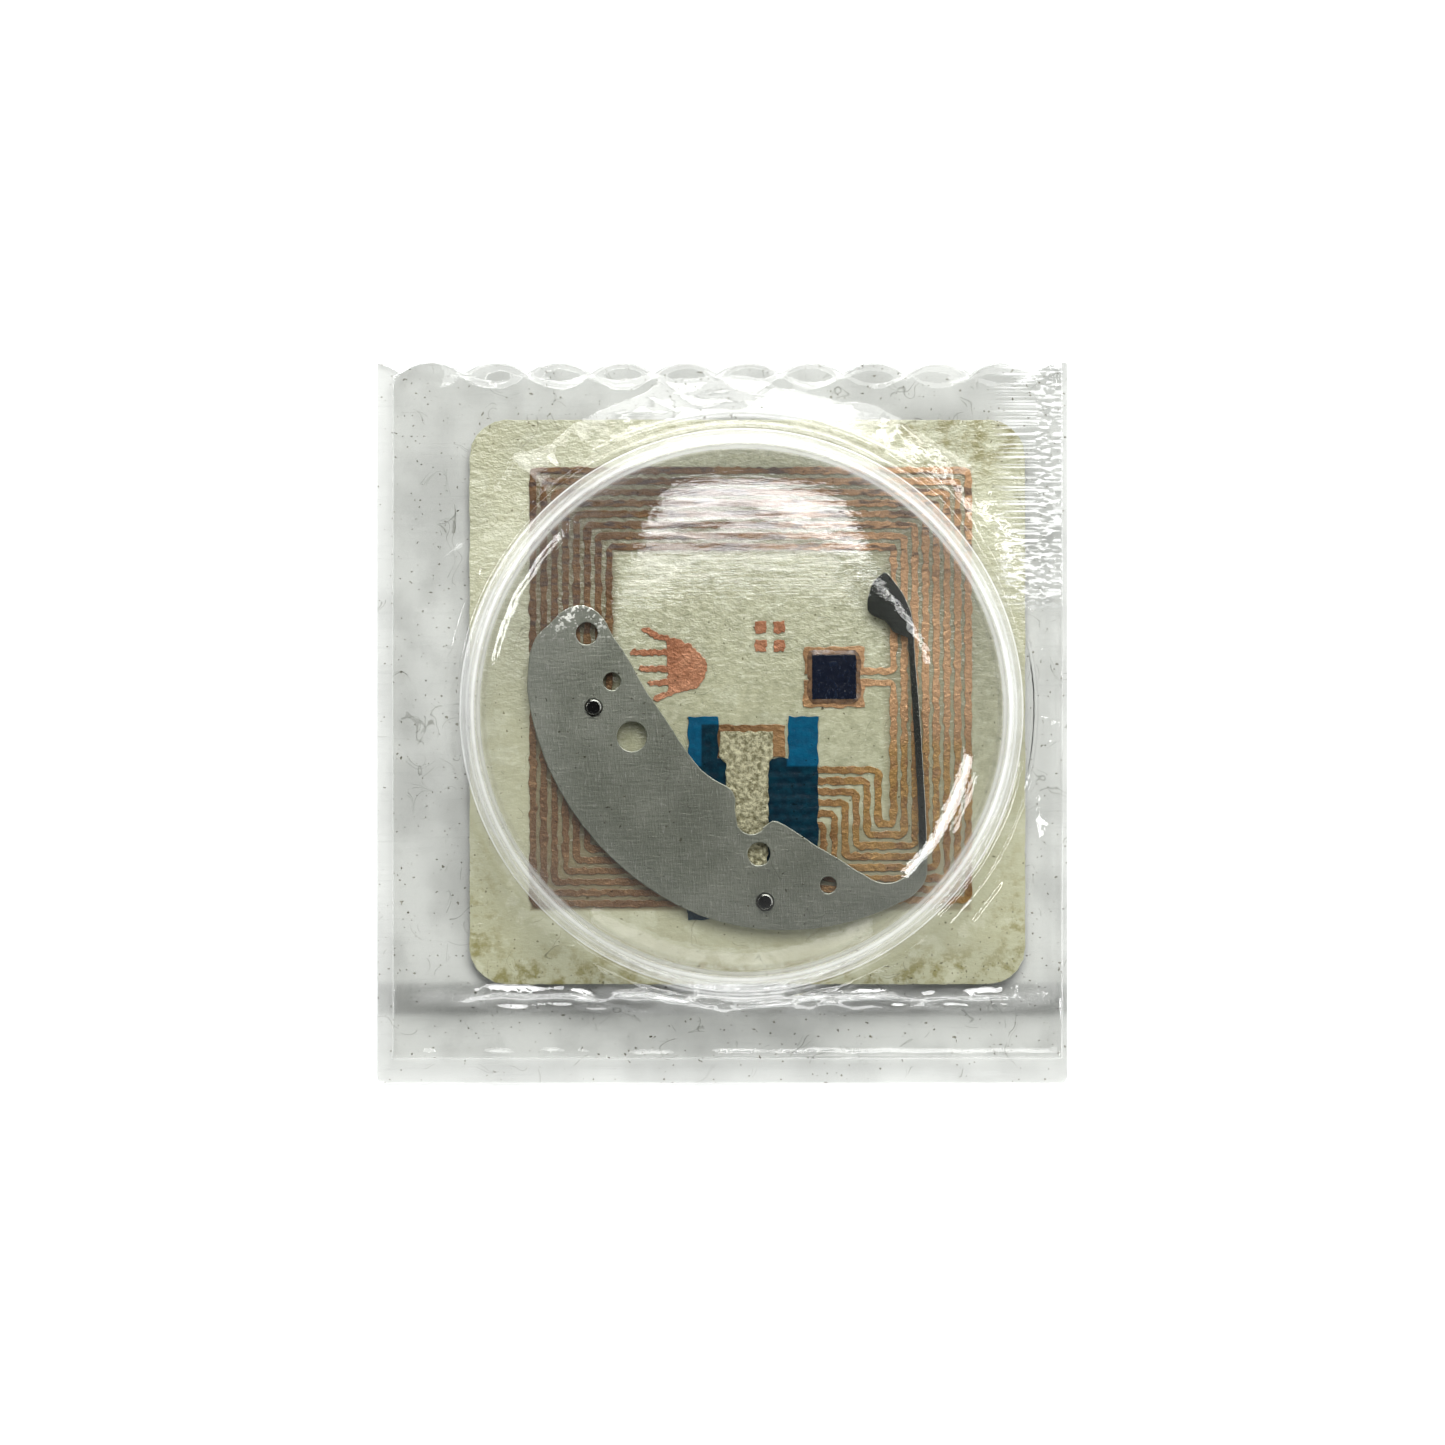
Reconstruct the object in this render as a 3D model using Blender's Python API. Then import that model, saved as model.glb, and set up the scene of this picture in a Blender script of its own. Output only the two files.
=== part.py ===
"""Clear blister pack holding a loose steel calendar plate over a flat radio tag label.

The pack stands on its backing film: origin at the middle of the pack's underside, +Z out
through the dome, +Y towards the scalloped tear edge.  All sizes below are in millimetres.
"""
import math

import bmesh
import bpy
from mathutils import Vector
from mathutils.geometry import delaunay_2d_cdt

MM = 0.001

# ---- pack outline -------------------------------------------------------------------------
FILM_WIDTH = 31.1
FILM_HEIGHT = 32.5
SHELL_LEFT = -14.85
SHELL_RIGHT = 15.3
SHELL_BOTTOM = -15.15
SCALLOP_PITCH = 2.85
SCALLOP_DEPTH = 0.5
SCALLOP_JUNCTION = -14.5
SCALLOP_STEPS = 6
PACK_CORNER = 0.35

# ---- dome of the blister ------------------------------------------------------------------
DOME_X = 0.85
DOME_Y = 0.55
DOME_RADIUS = 13.0
DOME_TOP = 5.9
SHEET = 0.3
DOME_SEGMENTS = 56
SHOULDER_STEPS = 7

# ---- raised bed of the shell over the label -------------------------------------------------
BED_LEFT = -12.7
BED_RIGHT = 14.5
BED_BOTTOM = -13.0
BED_TOP = 14.2
BED_STEP = 0.35
BED_CORNER = 1.6

# ---- radio tag label ------------------------------------------------------------------------
LABEL_WIDTH = 25.0
LABEL_HEIGHT = 25.4
LABEL_X = 1.12
LABEL_Y = 0.92
LABEL_CORNER = 1.65

# ---- spiral antenna -------------------------------------------------------------------------
TURNS = 8
TRACE = 0.31
PITCH = 0.49
RIGHT_PITCH = 0.48
COIL_LEFT = -8.53
COIL_TOP = 11.34
COIL_BOTTOM = -8.15
COIL_RIGHT_INNER = 7.7
DETOUR_TOP = -2.63
DETOUR_LEFT = -3.6
DETOUR_RIGHT = 6.5
DETOUR_EXIT = -5.05
RETURN_ROW = -2.14
RETURN_COLUMN = 7.0
RETURN_BOTTOM = -4.58
CORNER = 0.22

# ---- chip, pads and printed bridge ------------------------------------------------------------
CHIP_X = 5.02
CHIP_Y = 2.05
CHIP_SIZE = 1.98
LAND_HALF = 1.36
LAND_GAP = 0.2
LEAD_OFFSET = 0.26
UNDERFILL_HALF = 1.22
UNDERFILL_HOLE = 0.8
BUMP_RADIUS = 0.13
BUMP_OFFSET = 0.6
PAD_LEFT = -0.16
PAD_RIGHT = 2.81
PAD_HEIGHT = 1.48
UPPER_PAD_TOP = -0.1
UPPER_PAD_LEFT = -0.95
BRIDGE_LEFT = -1.55
BRIDGE_RIGHT = 4.3
BRIDGE_MIDDLE = -4.3
BRIDGE_BODY_HALF = 2.68
BRIDGE_PRONG_HALF = 4.57
PRONG_WIDTH = 1.35
STEM_LEFT = 0.16
STEM_RIGHT = 2.05
HEAD_LEFT = -0.12
HEAD_RIGHT = 2.27
HEAD_OUTER = 3.9
HEAD_INNER = 2.8
STEM_START = 2.36
MARK_X = 2.14
MARK_Y = 3.87
MARK_SIZE = 0.52
MARK_SPACING = 0.82

# ---- steel plate ------------------------------------------------------------------------------
PIN_RADIUS = 0.36
PIN_FIT = 0.025
PIN_TOP = 1.35
PINS = {"steady_pin_upper": (-5.78, 0.68), "steady_pin_lower": (1.91, -8.05)}
PLATE_HOLES = (
    (-6.1, 4.0, 0.5),
    (-4.97, 1.85, 0.4),
    (-4.07, -0.63, 0.68),
    (1.64, -5.9, 0.52),
    (4.75, -7.29, 0.38),
)
ARM_ROOT_Y = -6.15
ARM_GAP = 0.03

# ---- height of each layer above the underside ----------------------------------------------------
FILM = (0.0, 0.25)
ADHESIVE = (0.27, 0.30)
PAPER = (0.32, 0.42)
INLAY = (0.44, 0.50)
COPPER = (0.52, 0.56)
BRIDGE = (0.58, 0.62)
JUMPER = (0.64, 0.70)
FOOT = (0.58, 0.66)
DIE = (0.64, 0.78)
PLATE = (0.82, 1.07)
FLANGE = (0.27, 0.57)
BED = (0.60, 0.90)


# ---- scene helpers ----------------------------------------------------------------------------------
def clear_scene():
    for item in list(bpy.data.objects):
        bpy.data.objects.remove(item, do_unlink=True)


def make_material(name, colour, roughness, metallic=0.0, alpha=1.0):
    material = bpy.data.materials.new(name)
    material.use_nodes = True
    shader = material.node_tree.nodes["Principled BSDF"]
    shader.inputs["Base Color"].default_value = (*colour, 1.0)
    shader.inputs["Roughness"].default_value = roughness
    shader.inputs["Metallic"].default_value = metallic
    shader.inputs["Alpha"].default_value = alpha
    return material


def make_solid(name, points, faces, material, smooth_angle=None):
    """Link one closed mesh, points in millimetres, with its faces turned outwards."""
    mesh = bpy.data.meshes.new(name)
    mesh.from_pydata([[value * MM for value in point] for point in points], [], faces)
    shape = bmesh.new()
    shape.from_mesh(mesh)
    bmesh.ops.recalc_face_normals(shape, faces=shape.faces)
    bmesh.ops.triangulate(shape, faces=shape.faces)
    shape.to_mesh(mesh)
    shape.free()
    mesh.materials.append(material)
    if smooth_angle is not None:
        mesh.shade_smooth()
        mesh.set_sharp_from_angle(angle=math.radians(smooth_angle))
    item = bpy.data.objects.new(name, mesh)
    bpy.context.scene.collection.objects.link(item)
    return item


def fill(loops):
    """Triangles that fill the first loop and leave the other loops open."""
    points = [Vector((x, y)) for loop in loops for x, y in loop]
    edges = []
    start = 0
    for loop in loops:
        edges += [(start + i, start + (i + 1) % len(loop)) for i in range(len(loop))]
        start += len(loop)
    inside = 1
    _, _, triangles, sources, _, _ = delaunay_2d_cdt(points, edges, [], inside, 1e-7)
    chosen = []
    for triangle in triangles:
        corners = tuple(sources[index][0] for index in triangle)
        middle = sum((points[index] for index in corners), Vector((0, 0))) / 3
        if sum(contains(loop, middle) for loop in loops) == 1:
            chosen.append(corners)
    return chosen


def contains(loop, point):
    """True when a point lies inside a closed outline."""
    odd = False
    for (x1, y1), (x2, y2) in zip(loop, loop[1:] + loop[:1]):
        if (y1 > point.y) != (y2 > point.y) and point.x < x1 + (point.y - y1) * (x2 - x1) / (y2 - y1):
            odd = not odd
    return odd


def extrude(name, outline, heights, material, holes=(), smooth_angle=None):
    """Flat part: an outline with holes, between two heights."""
    loops = [outline, *holes]
    flat = [point for loop in loops for point in loop]
    count = len(flat)
    points = [(x, y, heights[0]) for x, y in flat] + [(x, y, heights[1]) for x, y in flat]
    faces = []
    for a, b, c in fill(loops):
        faces.append((a, b, c))
        faces.append((a + count, b + count, c + count))
    start = 0
    for loop in loops:
        for index in range(len(loop)):
            a = start + index
            b = start + (index + 1) % len(loop)
            faces.append((a, b, b + count, a + count))
        start += len(loop)
    return make_solid(name, points, faces, material, smooth_angle)


# ---- outlines -------------------------------------------------------------------------------------
def circle(x, y, radius, segments):
    step = 2 * math.pi / segments
    return [(x + radius * math.cos(i * step), y + radius * math.sin(i * step)) for i in range(segments)]


def rectangle(left, right, bottom, top):
    return [(left, bottom), (right, bottom), (right, top), (left, top)]


def rounded_rectangle(left, right, bottom, top, radius, steps=5):
    centres = (
        (right - radius, top - radius, 0),
        (left + radius, top - radius, 90),
        (left + radius, bottom + radius, 180),
        (right - radius, bottom + radius, 270),
    )
    points = []
    for x, y, first in centres:
        for step in range(steps + 1):
            angle = math.radians(first + 90 * step / steps)
            points.append((x + radius * math.cos(angle), y + radius * math.sin(angle)))
    return points


def scallop_edge(x):
    """Height of the scalloped tear edge at one place along the pack."""
    turn = ((x - SCALLOP_JUNCTION) / SCALLOP_PITCH) % 1.0
    return FILM_HEIGHT / 2 - SCALLOP_DEPTH * (2 * turn - 1) ** 2


def scalloped_outline(left, right, bottom):
    """Rectangle with rounded lower corners and scallops along its top, anticlockwise."""
    points = []
    for x, first in ((left + PACK_CORNER, 180), (right - PACK_CORNER, 270)):
        for step in range(4):
            angle = math.radians(first + 30 * step)
            points.append((x + PACK_CORNER * math.cos(angle),
                           bottom + PACK_CORNER + PACK_CORNER * math.sin(angle)))
    points.append((right, scallop_edge(right)))
    step_length = SCALLOP_PITCH / SCALLOP_STEPS
    last = math.floor((right - SCALLOP_JUNCTION) / step_length - 0.2)
    first = math.ceil((left - SCALLOP_JUNCTION) / step_length + 0.2)
    for index in range(last, first - 1, -1):
        x = SCALLOP_JUNCTION + index * step_length
        points.append((x, scallop_edge(x)))
    points.append((left, scallop_edge(left)))
    return points


def round_corners(path, radius, steps=3):
    """Open path with each inner corner replaced by an arc."""
    points = [path[0]]
    for before, corner, after in zip(path, path[1:], path[2:]):
        here = Vector(corner)
        inward = (Vector(before) - here).normalized()
        outward = (Vector(after) - here).normalized()
        centre = here + (inward + outward) * radius
        for step in range(steps + 1):
            turn = math.pi / 2 * step / steps
            point = centre - outward * radius * math.cos(turn) - inward * radius * math.sin(turn)
            points.append((point.x, point.y))
    points.append(path[-1])
    return points


def strip_sides(path, width):
    """Left and right sides of a strip that follows a path."""
    left = []
    right = []
    for index, point in enumerate(path):
        before = Vector(path[max(index - 1, 0)])
        after = Vector(path[min(index + 1, len(path) - 1)])
        here = Vector(point)
        ahead = (after - here).normalized() if index < len(path) - 1 else (here - before).normalized()
        behind = (here - before).normalized() if index > 0 else ahead
        along = (ahead + behind).normalized()
        reach = width / 2 / max(along.dot(ahead), 0.5)
        side = Vector((-along.y, along.x)) * reach
        left.append((here.x + side.x, here.y + side.y))
        right.append((here.x - side.x, here.y - side.y))
    return left, right


def smooth_curve(points, steps):
    """Open curve through a few points, with its ends kept."""
    curve = [points[0]]
    for index in range(len(points) - 1):
        p0 = Vector(points[max(index - 1, 0)])
        p1 = Vector(points[index])
        p2 = Vector(points[index + 1])
        p3 = Vector(points[min(index + 2, len(points) - 1)])
        for step in range(1, steps + 1):
            t = step / steps
            point = 0.5 * (2 * p1 + (p2 - p0) * t + (2 * p0 - 5 * p1 + 4 * p2 - p3) * t * t
                           + (3 * p1 - 3 * p2 + p3 - p0) * t ** 3)
            curve.append((point.x, point.y))
    return curve


def arc(x, y, radius, first, last, steps):
    points = []
    for step in range(steps + 1):
        angle = math.radians(first + (last - first) * step / steps)
        points.append((x + radius * math.cos(angle), y + radius * math.sin(angle)))
    return points


# ---- packaging ----------------------------------------------------------------------------------------
def build_backing_film(material):
    outline = scalloped_outline(-FILM_WIDTH / 2, FILM_WIDTH / 2, -FILM_HEIGHT / 2)
    extrude("backing_film", outline, FILM, material)


def dome_profile(inset):
    """Radius and height pairs from the dome's foot to its crown, moved in by the sheet."""
    base = BED[1] - inset
    foot = [
        (DOME_RADIUS, base),
        (DOME_RADIUS - 0.42 - inset * 0.4, base + 0.1),
        (DOME_RADIUS - 0.72 - inset * 0.7, base + 0.42),
        (DOME_RADIUS - 0.9 - inset, base + 1.0),
    ]
    shoulder_x = 6.4
    shoulder_z = 3.1
    reach = DOME_RADIUS - 1.25 - inset - shoulder_x
    rise = DOME_TOP - inset - 0.06 - shoulder_z
    shoulder = []
    for step in range(SHOULDER_STEPS + 1):
        angle = math.pi / 2 * step / SHOULDER_STEPS
        shoulder.append((shoulder_x + reach * math.cos(angle) ** 0.85,
                         shoulder_z + rise * math.sin(angle) ** 0.85))
    return foot + shoulder


def shell_surface(inset, points, faces):
    """One skin of the blister sheet, added to points and faces. Returns its edge loop."""
    def add_loop(outline, height):
        first = len(points)
        points.extend((x, y, height) for x, y in outline)
        return list(range(first, len(points)))

    def fill_between(outer, inner):
        ids = outer + inner
        loops = [[points[i][:2] for i in loop] for loop in (outer, inner)]
        for a, b, c in fill(loops):
            faces.append((ids[a], ids[b], ids[c]))

    def join(first, second):
        count = len(first)
        for index in range(count):
            after = (index + 1) % count
            faces.append((first[index], first[after], second[after], second[index]))

    edge = add_loop(scalloped_outline(SHELL_LEFT, SHELL_RIGHT, SHELL_BOTTOM), FLANGE[1] - inset)
    foot = add_loop(rounded_rectangle(BED_LEFT - BED_STEP, BED_RIGHT + BED_STEP, BED_BOTTOM - BED_STEP,
                                      BED_TOP + BED_STEP, BED_CORNER + BED_STEP), FLANGE[1] - inset)
    bed = add_loop(rounded_rectangle(BED_LEFT, BED_RIGHT, BED_BOTTOM, BED_TOP, BED_CORNER), BED[1] - inset)
    fill_between(edge, foot)
    join(foot, bed)
    profile = dome_profile(inset)
    rings = [add_loop(circle(DOME_X, DOME_Y, radius, DOME_SEGMENTS), height) for radius, height in profile]
    fill_between(bed, rings[0])
    for lower, upper in zip(rings, rings[1:]):
        join(lower, upper)
    crown = len(points)
    points.append((DOME_X, DOME_Y, DOME_TOP - inset))
    for index in range(DOME_SEGMENTS):
        faces.append((rings[-1][index], rings[-1][(index + 1) % DOME_SEGMENTS], crown))
    return edge


def build_blister_shell(material):
    points = []
    faces = []
    upper = shell_surface(0.0, points, faces)
    lower = shell_surface(SHEET, points, faces)
    count = len(upper)
    for index in range(count):
        after = (index + 1) % count
        faces.append((upper[index], upper[after], lower[after], lower[index]))
    make_solid("blister_shell", points, faces, material, smooth_angle=30)


# ---- label ------------------------------------------------------------------------------------------
def build_label_layers(adhesive, paper, inlay):
    for name, heights, material in (("label_adhesive", ADHESIVE, adhesive),
                                    ("label_paper", PAPER, paper),
                                    ("inlay_film", INLAY, inlay)):
        outline = rounded_rectangle(LABEL_X - LABEL_WIDTH / 2, LABEL_X + LABEL_WIDTH / 2,
                                    LABEL_Y - LABEL_HEIGHT / 2, LABEL_Y + LABEL_HEIGHT / 2, LABEL_CORNER)
        extrude(name, outline, heights, material)


def coil_path():
    """Centre line of the spiral, from the chip's upper land out to the outer landing pad."""
    path = [(CHIP_X + LAND_HALF, CHIP_Y + LEAD_OFFSET)]
    for turn in range(TURNS):
        inner = TURNS - 1 - turn
        left = COIL_LEFT + PITCH * inner
        right = COIL_RIGHT_INNER + RIGHT_PITCH * turn
        top = COIL_TOP - PITCH * inner
        row = COIL_BOTTOM + PITCH * inner
        if turn == 0:
            path.append((right, CHIP_Y + LEAD_OFFSET))
        path += [(right, top), (left, top), (left, row)]
        if turn == TURNS - 1:
            path.append((PAD_LEFT, row))
            continue
        detour_row = DETOUR_TOP - PITCH * turn
        detour_left = DETOUR_LEFT + PITCH * turn
        detour_right = DETOUR_RIGHT - PITCH * turn
        exit_row = DETOUR_EXIT - PITCH * turn
        path += [(detour_left, row), (detour_left, detour_row), (detour_right, detour_row),
                 (detour_right, exit_row), (right + RIGHT_PITCH, exit_row)]
    return path


def build_antenna_coil(material):
    left, right = strip_sides(round_corners(coil_path(), CORNER), TRACE)
    pad_top = BRIDGE_MIDDLE - BRIDGE_BODY_HALF - 0.04
    landing_pad = [(PAD_LEFT, pad_top), (PAD_RIGHT, pad_top),
                   (PAD_RIGHT, pad_top - PAD_HEIGHT), (PAD_LEFT, pad_top - PAD_HEIGHT)]
    edge = CHIP_X + LAND_HALF
    far = CHIP_X - LAND_HALF
    chip_land = [(edge, CHIP_Y + LAND_GAP / 2), (far, CHIP_Y + LAND_GAP / 2),
                 (far, CHIP_Y + LAND_HALF), (edge, CHIP_Y + LAND_HALF)]
    outline = left + landing_pad + right[::-1] + chip_land
    extrude("antenna_coil", outline, COPPER, material)


def build_return_trace(material):
    """Inner pad, the lead round the slot and the chip's lower land, etched as one foil."""
    middle = (PAD_LEFT + PAD_RIGHT) / 2
    pad_bottom = UPPER_PAD_TOP - PAD_HEIGHT
    lead_y = CHIP_Y - LEAD_OFFSET
    edge = CHIP_X + LAND_HALF
    far = CHIP_X - LAND_HALF
    path = [(middle, pad_bottom), (middle, RETURN_ROW), (RETURN_COLUMN, RETURN_ROW),
            (RETURN_COLUMN, RETURN_BOTTOM), (COIL_RIGHT_INNER, RETURN_BOTTOM),
            (COIL_RIGHT_INNER, lead_y), (edge, lead_y)]
    left, right = strip_sides(round_corners(path, CORNER), TRACE)
    chip_land = [(edge, CHIP_Y - LAND_HALF), (far, CHIP_Y - LAND_HALF),
                 (far, CHIP_Y - LAND_GAP / 2), (edge, CHIP_Y - LAND_GAP / 2)]
    pad = [(UPPER_PAD_LEFT, pad_bottom), (UPPER_PAD_LEFT, UPPER_PAD_TOP),
           (PAD_RIGHT, UPPER_PAD_TOP), (PAD_RIGHT, pad_bottom)]
    extrude("return_trace", left + chip_land + right[::-1] + pad, COPPER, material)


def build_tuning_comb(material):
    """Hand-shaped copper stub: a rounded palm with a bent thumb and four fingers to the left."""
    palm_left = -2.5
    half = 0.13
    fingers = ((3.15, -4.2), (2.42, -3.8), (1.79, -3.4))
    palm = [(-2.2, 1.28), (-1.53, 1.42), (-1.01, 1.67), (-0.75, 2.19), (-0.74, 2.7), (-1.07, 3.16),
            (-1.53, 3.56), (-2.16, 3.8)]
    thumb = [(-2.73, 3.98), (-3.05, 4.05), (-3.3, 4.26), (-3.6, 4.28), (-3.7, 4.12), (-3.42, 4.02),
             (-3.12, 3.8), (-2.75, 3.7), (palm_left, 3.6)]
    outline = smooth_curve(palm, 3) + smooth_curve(thumb, 2)
    for y, tip in fingers:
        outline += [(palm_left, y + half), (tip + half, y + half), (tip, y), (tip + half, y - half),
                    (palm_left, y - half)]
    outline += [(palm_left, 1.42), (-3.05, 1.2), (-3.15, 1.04), (-3.0, 0.94), (palm_left, 1.14)]
    extrude("tuning_comb", outline, COPPER, material)


def build_register_marks(material):
    for index in range(4):
        x = MARK_X + MARK_SPACING * (index % 2 - 0.5)
        y = MARK_Y + MARK_SPACING * (index // 2 - 0.5)
        half = MARK_SIZE / 2
        extrude(f"register_mark_{index + 1}", rectangle(x - half, x + half, y - half, y + half),
                COPPER, material)


def build_chip(underfill, gold, silicon):
    outer = rounded_rectangle(CHIP_X - UNDERFILL_HALF, CHIP_X + UNDERFILL_HALF,
                              CHIP_Y - UNDERFILL_HALF, CHIP_Y + UNDERFILL_HALF, 0.35, 3)
    hole = rectangle(CHIP_X - UNDERFILL_HOLE, CHIP_X + UNDERFILL_HOLE,
                     CHIP_Y - UNDERFILL_HOLE, CHIP_Y + UNDERFILL_HOLE)
    extrude("chip_underfill", outer, BRIDGE, underfill, holes=[hole])
    for name, side in (("chip_bump_upper", 1), ("chip_bump_lower", -1)):
        extrude(name, circle(CHIP_X, CHIP_Y + side * BUMP_OFFSET, BUMP_RADIUS, 16), BRIDGE, gold)
    half = CHIP_SIZE / 2
    extrude("chip_die", rectangle(CHIP_X - half, CHIP_X + half, CHIP_Y - half, CHIP_Y + half), DIE, silicon)


def build_bridge(material):
    """Printed insulator in the shape of an H, open round both pads."""
    body_top = BRIDGE_MIDDLE + BRIDGE_BODY_HALF
    body_bottom = BRIDGE_MIDDLE - BRIDGE_BODY_HALF
    top = BRIDGE_MIDDLE + BRIDGE_PRONG_HALF
    bottom = BRIDGE_MIDDLE - BRIDGE_PRONG_HALF
    left = BRIDGE_LEFT + PRONG_WIDTH
    right = BRIDGE_RIGHT - PRONG_WIDTH
    outline = [(BRIDGE_LEFT, bottom), (left, bottom), (left, body_bottom), (right, body_bottom),
               (right, bottom), (BRIDGE_RIGHT, bottom), (BRIDGE_RIGHT, top), (right, top),
               (right, body_top), (left, body_top), (left, top), (BRIDGE_LEFT, top)]
    extrude("insulating_bridge", outline, BRIDGE, material)


def build_jumper(material):
    """Silver ink strap over the bridge, with a foot down to the pad at each end."""
    outline = []
    for side in (-1, 1):
        ends = [(STEM_LEFT, STEM_START), (HEAD_LEFT, HEAD_INNER), (HEAD_LEFT, HEAD_OUTER),
                (HEAD_RIGHT, HEAD_OUTER), (HEAD_RIGHT, HEAD_INNER), (STEM_RIGHT, STEM_START)]
        if side > 0:
            ends = ends[::-1]
        outline += [(x, BRIDGE_MIDDLE + side * y) for x, y in ends]
    strap = extrude("silver_jumper", outline, JUMPER, material)
    inset = 0.08
    for side in (-1, 1):
        near = BRIDGE_MIDDLE + side * (HEAD_INNER + inset)
        far = BRIDGE_MIDDLE + side * (HEAD_OUTER - inset)
        foot = extrude(f"jumper_foot_{side + 2}", rectangle(HEAD_LEFT + inset, HEAD_RIGHT - inset,
                       min(near, far), max(near, far)), FOOT, material)
        foot.hide_render = True
        foot.display_type = "WIRE"
        union = strap.modifiers.new("foot", "BOOLEAN")
        union.operation = "UNION"
        union.object = foot


# ---- steel plate with its spring ------------------------------------------------------------------------
def plate_outline():
    """Crescent: outer arcs, the hook under the arm, the free inner edge and the round tip."""
    outer = arc(3.81, 3.06, 12.69, 187.5, 242, 11) + arc(2.82, 1.9, 11.24, 250, 298, 9)
    hook = smooth_curve([(8.45, -7.85), (8.95, -7.35), (9.18, -6.8), (9.19, ARM_ROOT_Y - ARM_GAP)], 3)
    inner = smooth_curve([(8.82, ARM_ROOT_Y - ARM_GAP), (8.66, -6.42), (8.25, -6.9), (7.55, -7.2),
                          (6.9, -7.13), (6.4, -6.85)], 3)
    ramp = smooth_curve([(5.98, -6.62), (5.13, -6.06), (4.25, -5.55), (3.2, -4.85), (2.45, -4.43),
                         (2.1, -4.5), (1.75, -4.78)], 2)
    notch = arc(1.3, -4.3, 0.72, 318, 212, 6)
    edge = smooth_curve([(0.56, -3.9), (0.56, -3.4), (0.35, -2.98), (-0.3, -2.6), (-0.95, -2.12),
                         (-1.76, -1.08), (-2.55, 0.15), (-3.45, 1.45), (-4.25, 2.9), (-4.97, 3.95)], 3)
    tip = smooth_curve([(-5.2, 4.45), (-5.6, 4.95), (-6.2, 5.25), (-6.85, 5.18), (-7.35, 4.85),
                        (-7.9, 4.3), (-8.4, 3.8), (-8.67, 3.0), (-8.75, 2.2)], 2)
    return outer + hook + inner + ramp + notch + edge + tip


def build_plate(steel, pin_steel):
    holes = [circle(x, y, radius, 20) for x, y, radius in PLATE_HOLES]
    holes += [circle(x, y, PIN_RADIUS + PIN_FIT, 20) for x, y in PINS.values()]
    extrude("calendar_plate", plate_outline(), PLATE, steel, holes=holes)
    for name, (x, y) in PINS.items():
        build_pin(name, x, y, pin_steel)


def build_pin(name, x, y, material):
    """Steady pin: a short cylinder with a polished round head."""
    dome_start = PIN_TOP - 0.16
    profile = [(PIN_RADIUS, PLATE[0]), (PIN_RADIUS, dome_start), (PIN_RADIUS * 0.86, dome_start + 0.09),
               (PIN_RADIUS * 0.5, dome_start + 0.14)]
    segments = 20
    points = []
    for radius, height in profile:
        points += [(px, py, height) for px, py in circle(x, y, radius, segments)]
    crown = len(points)
    points.append((x, y, PIN_TOP))
    faces = [tuple(range(segments))]
    for ring in range(len(profile) - 1):
        for index in range(segments):
            a = ring * segments + index
            b = ring * segments + (index + 1) % segments
            faces.append((a, b, b + segments, a + segments))
    last = (len(profile) - 1) * segments
    for index in range(segments):
        faces.append((last + index, last + (index + 1) % segments, crown))
    make_solid(name, points, faces, material, smooth_angle=40)


def build_spring_arm(material):
    """Long thin spring that rises from the hook and ends in the jumper's beak."""
    right = smooth_curve([(9.19, ARM_ROOT_Y), (9.14, -4.2), (8.97, -1.2), (8.82, 1.0), (8.66, 2.85),
                          (8.56, 4.5), (8.3, 5.4), (7.9, 6.1), (7.42, 6.7)], 4)
    beak = smooth_curve([(7.25, 6.75), (6.8, 6.35), (6.55, 5.7), (6.5, 5.1), (6.75, 4.8), (7.3, 4.55),
                         (7.65, 4.1), (7.95, 3.95), (8.3, 3.8)], 2)
    left = smooth_curve([(8.38, 3.0), (8.5, 1.0), (8.64, -1.2), (8.8, -4.2), (8.82, ARM_ROOT_Y)], 4)
    extrude("spring_arm", right + beak + left, PLATE, material)


def build_pack():
    clear_film = make_material("clear_film", (0.86, 0.88, 0.88), 0.08, alpha=0.3)
    adhesive = make_material("label_adhesive", (0.75, 0.75, 0.62), 0.4, alpha=0.6)
    paper = make_material("label_paper", (0.62, 0.62, 0.47), 0.8)
    inlay = make_material("inlay_film", (0.8, 0.82, 0.76), 0.2, alpha=0.4)
    copper = make_material("copper", (0.42, 0.2, 0.11), 0.35, metallic=1.0)
    blue_ink = make_material("blue_ink", (0.0, 0.08, 0.24), 0.45)
    silver_ink = make_material("silver_ink", (0.5, 0.48, 0.38), 0.6, metallic=0.7)
    underfill = make_material("underfill", (0.12, 0.06, 0.03), 0.3)
    gold = make_material("gold", (0.8, 0.6, 0.25), 0.25, metallic=1.0)
    silicon = make_material("silicon", (0.01, 0.015, 0.03), 0.15)
    steel = make_material("steel", (0.32, 0.33, 0.3), 0.4, metallic=1.0)
    pin_steel = make_material("pin_steel", (0.2, 0.2, 0.2), 0.12, metallic=1.0)

    clear_scene()
    build_backing_film(clear_film)
    build_label_layers(adhesive, paper, inlay)
    build_antenna_coil(copper)
    build_return_trace(copper)
    build_tuning_comb(copper)
    build_register_marks(copper)
    build_chip(underfill, gold, silicon)
    build_bridge(blue_ink)
    build_jumper(silver_ink)
    build_blister_shell(clear_film)
    build_plate(steel, pin_steel)
    build_spring_arm(steel)


build_pack()
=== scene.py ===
"""Looks of the blister pack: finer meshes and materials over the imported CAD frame.

Lengths are in millimetres in the shared frame, and turn into metres when a mesh is made.
"""
import math

import bpy
import numpy as np
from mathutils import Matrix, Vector
from mathutils.geometry import delaunay_2d_cdt


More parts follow.
